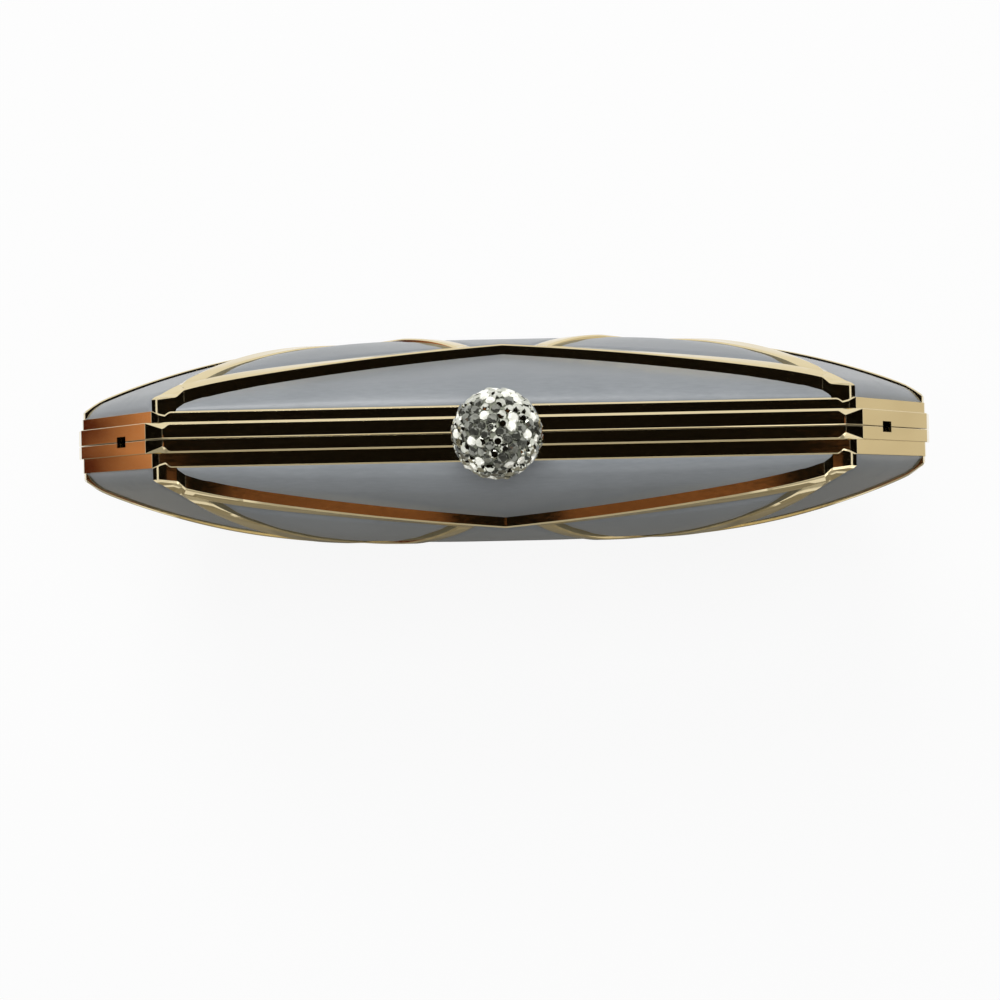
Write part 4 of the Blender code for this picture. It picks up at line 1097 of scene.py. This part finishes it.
def add_stone(bm, place, radius, kind):
    """One cut stone: a table, a crown of alternating facets and a point below."""
    crown = radius * STONE_CROWN_SHARE
    table = []
    girdle = []
    for side in range(STONE_SIDES):
        turn = math.tau * side / STONE_SIDES
        half = turn + math.pi / STONE_SIDES
        table.append(bm.verts.new(place @ polar(radius * STONE_TABLE_SHARE, turn, crown)))
        girdle.append(bm.verts.new(place @ polar(radius, half)))
    point = bm.verts.new(place @ Vector((0.0, 0.0, -radius * STONE_POINT_SHARE)))
    faces = [bm.faces.new(table)]
    for (here, beside), (low, next_low) in zip(sides(table), sides(girdle)):
        faces.append(bm.faces.new((here, low, beside)))
        faces.append(bm.faces.new((beside, low, next_low)))
        faces.append(bm.faces.new((low, point, next_low)))
    for face in faces:
        face.material_index = kind


def make_stones(finishes):
    """The skin of the ball: cut stones, with small beads in the gaps between them."""
    dice = random.Random(STONE_SEED)
    bm = bmesh.new()
    stones = []
    kinds = range(len(finishes))
    for outward in spread(STONE_COUNT):
        radius = STONE_RADIUS * dice.uniform(*STONE_SIZE_SHARES)
        lean = Vector([dice.uniform(-1, 1) for _ in range(3)]) * math.tan(STONE_TILT)
        turn = facing((outward + lean * dice.random()).normalized())
        spin = Matrix.Rotation(dice.uniform(0, math.tau), 4, "Z")
        place = Matrix.Translation(BALL_MIDDLE + outward * STONE_SEAT * dice.uniform(*STONE_DEPTH_SHARES))
        stones.append((outward, radius))
        add_stone(bm, place @ turn @ spin, radius, dice.choice(kinds))
    for outward in spread(BEAD_COUNT):
        least = min((outward - other).length * STONE_SEAT - radius for other, radius in stones)
        if least > BEAD_RADIUS * BEAD_ROOM_SHARE:
            place = Matrix.Translation(BALL_MIDDLE + outward * (STONE_SEAT - BEAD_RADIUS * BEAD_SINK_SHARE))
            add_stone(bm, place @ facing(outward), BEAD_RADIUS, dice.choice(kinds))
    made = mesh_object("ball_stones", bm)
    for finish in finishes:
        made.data.materials.append(finish)
    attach(made, "knob")
    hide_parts("ball_crystals")


def make_resin(finish):
    """The core of the ball, flat on its underside."""
    radius = STONE_SEAT - STONE_RADIUS / 4
    bm = bmesh.new()
    bmesh.ops.create_uvsphere(bm, u_segments=BALL_STEPS, v_segments=BALL_STEPS // 2, radius=radius)
    everything = bm.verts[:] + bm.edges[:] + bm.faces[:]
    level = (0.0, 0.0, -BALL_RADIUS * BALL_FLAT_SHARE)
    bmesh.ops.bisect_plane(bm, geom=everything, plane_co=level, plane_no=(0, 0, -1), clear_outer=True)
    bmesh.ops.holes_fill(bm, edges=[edge for edge in bm.edges if edge.is_boundary])
    bmesh.ops.translate(bm, verts=bm.verts[:], vec=BALL_MIDDLE)
    made = mesh_object("ball_resin", bm, finish)
    smooth(made, BALL_SMOOTH_ANGLE)
    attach(made, "knob")
    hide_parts("ball_core")


def make_spring(finish):
    """The return spring, a coil with closed ends."""
    low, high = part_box("latch_spring")
    radius = (high.x - low.x) / 2 - WIRE_RADIUS
    bottom = low.z + WIRE_RADIUS
    rise = high.z - WIRE_RADIUS - bottom
    bm = bmesh.new()
    rings = []
    for index in range(int(COIL_TURNS * COIL_STEPS) + 1):
        turns = index / COIL_STEPS
        outward = polar(1.0, math.tau * turns)
        share = (turns - CLOSED_TURNS) / (COIL_TURNS - 2 * CLOSED_TURNS)
        height = bottom + rise * min(max(share, 0.0), 1.0)
        centre = Vector((KNOB_X, KNOB_Y, height)) + outward * radius
        ring = []
        for side in range(WIRE_SIDES):
            angle = math.tau * side / WIRE_SIDES
            offset = outward * math.cos(angle) + Vector((0.0, 0.0, math.sin(angle)))
            ring.append(bm.verts.new(centre + offset * WIRE_RADIUS))
        rings.append(ring)
    for ring, after in zip(rings, rings[1:]):
        join_rings(bm, ring, after)
    bm.faces.new(rings[0])
    bm.faces.new(rings[-1])
    spring = mesh_object("return_spring", bm, finish)
    smooth(spring, WIRE_SMOOTH_ANGLE)
    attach(spring, "front_half")
    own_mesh(spring)
    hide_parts("latch_spring")


def finish_node(name, material):
    """Give a CAD node a material."""
    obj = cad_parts[name]
    obj.data.materials.clear()
    obj.data.materials.append(material)


def make_floor():
    """A pale floor that keeps the shadow, low enough for the opened half to clear it."""
    bm = bmesh.new()
    bmesh.ops.create_circle(bm, cap_ends=True, segments=FLOOR_STEPS, radius=FLOOR_RADIUS)
    floor = mesh_object("floor", bm)
    floor.location.z = FLOOR_Z
    made = bpy.data.materials.new("pale_floor")
    made.use_nodes = True
    tree = made.node_tree
    tree.nodes.clear()
    matt = add_node(tree, "BsdfDiffuse", {"Color": FLOOR_COLOUR}).outputs["BSDF"]
    glow = add_node(tree, "Emission", {"Color": WHITE}).outputs["Emission"]
    share = combine(tree, "MULTIPLY", seen_directly(tree), FLOOR_GLOW_SHARE)
    mix = add_node(tree, "MixShader", {"Fac": share, 1: matt, 2: glow})
    add_node(tree, "OutputMaterial", {"Surface": mix.outputs["Shader"]})
    floor.data.materials.append(made)


def seen_directly(tree):
    """1 for camera, glossy and transmission rays, and 0 for the rest."""
    rays = tree.nodes.new("ShaderNodeLightPath").outputs
    mirrored = combine(tree, "MAXIMUM", rays["Is Camera Ray"], rays["Is Glossy Ray"])
    return combine(tree, "MAXIMUM", mirrored, rays["Is Transmission Ray"])


def make_world():
    """White surroundings, dimmer as a light than as a background."""
    world = bpy.data.worlds.new("surroundings")
    bpy.context.scene.world = world
    world.use_nodes = True
    tree = world.node_tree
    strength = remap(tree, seen_directly(tree), WORLD_LIGHT, 1.0, 0.0, 1.0)
    set_inputs(tree.nodes["Background"], {"Color": WHITE, "Strength": strength})


def make_card(name, place, size, turn, colours, scale=34.0, fade=0.0):
    """A card that only polished surfaces see, mottled and faded between two colours."""
    bm = bmesh.new()
    bmesh.ops.create_grid(bm, x_segments=1, y_segments=1, size=1.0)
    stretch = Matrix.Diagonal((size[0] / 2, size[1] / 2, 1.0, 1.0))
    place = Matrix.Translation(place) @ Matrix.Rotation(math.radians(turn), 4, "X")
    bmesh.ops.transform(bm, matrix=place @ stretch, verts=bm.verts[:])
    card = mesh_object(name, bm)
    made, tree, shader = principled(f"{name}_card", {"Roughness": 1.0, "Specular IOR Level": 0.0})
    mottle = noise(tree, scale, 2.0, (1.0, 4.0, 1.0))
    across = add_node(tree, "SeparateXYZ", {"Vector": coordinates(tree)}).outputs["X"]
    middle = place.translation.x
    rise = remap(tree, across, -fade, fade, middle - size[0] / 2, middle + size[0] / 2)
    colour = shade(tree, combine(tree, "ADD", mottle, rise), *colours)
    set_inputs(shader, {"Base Color": colour})
    card.data.materials.append(made)
    card.visible_camera = False
    card.visible_diffuse = False
    card.visible_shadow = False
    card.visible_transmission = False


def make_light(name, place, aim, size, power, mirrored=True):
    """A soft area light, which polished surfaces may be kept from mirroring."""
    data = bpy.data.lights.new(name, "AREA")
    data.shape = "RECTANGLE"
    data.size, data.size_y = size
    data.energy = power
    light = add_object(name, data)
    light.location = place
    light.visible_glossy = mirrored
    light.rotation_mode = "QUATERNION"
    light.rotation_quaternion = (Vector(aim) - Vector(place)).to_track_quat("-Z", "Y")


def make_camera():
    """The camera of the photograph, above the clutch."""
    centre = Vector((IMAGE_SIZE / 2, IMAGE_SIZE / 2))
    nadir = (NADIR_PIXEL - centre) / FOCAL_PIXELS
    seam = (SEAM_PIXEL - centre) / FOCAL_PIXELS
    down = Vector((*nadir, 1.0)).normalized()
    along = Vector((1.0, LENGTH_SLOPE, 0.0))
    world_x = (along - down * along.dot(down)).normalized()
    to_world = Matrix((world_x, world_x.cross(down), -down))
    place = Vector((0.0, 0.0, HEIGHT)) - to_world @ (Vector((*seam, 1.0)) * SEAM_DISTANCE)
    data = bpy.data.cameras.new("camera")
    data.sensor_width = SENSOR_WIDTH_MM
    data.lens = FOCAL_PIXELS / IMAGE_SIZE * SENSOR_WIDTH_MM
    data.clip_start = NEAR_CLIP
    camera = add_object("camera", data)
    turn = to_world @ Matrix.Diagonal((1.0, -1.0, -1.0))
    camera.matrix_world = Matrix.Translation(place) @ turn.to_4x4()
    bpy.context.scene.camera = camera


def make_clutch():
    """Every piece of the clutch and its finish."""
    gold = gold_material()
    steel = steel_material()
    satin = satin_material()
    cloth = lining_material()
    board = board_material()
    for label, side in HALVES.items():
        rim = make_rim(label, side, gold)
        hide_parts(f"{label}_frame")
        lattice = make_lattice(label, side, gold)
        make_satin(label, side, satin)
        make_lining(label, side, cloth)
        finish_node(f"{label}_shell", board)
    # Painted sparkle and reflection: the clear stones come in three copies, near white, silvery and dark,
    # whose colours paint the bright and dark reflections of their facets.
    clear = stone_material("bright_sparkle_stones", (0.80, 0.80, 0.70), (0.97, 0.97, 0.90), 0.35)
    silvery_sparkle = stone_material("silvery_sparkle_stones", (0.36, 0.38, 0.29), (0.92, 0.92, 0.84), 1.0)
    dark_reflection = stone_material("dark_reflection_stones", (0.04, 0.04, 0.035), (0.40, 0.41, 0.35), 0.85)
    make_stones((clear, silvery_sparkle, dark_reflection, silvery_sparkle, dark_reflection))
    make_resin(resin_material())
    make_spring(steel)
    for name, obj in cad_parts.items():
        if obj.hide_render or name.endswith("_shell"):
            continue
        finish_node(name, gold if "rivet" in name or "cup" in name else steel)


make_camera()
make_clutch()
make_floor()
make_world()
for name, settings in CARDS.items():
    make_card(name, *settings)
for name, settings in LIGHTS.items():
    make_light(name, *settings)
bpy.context.scene.view_settings.view_transform = "Standard"
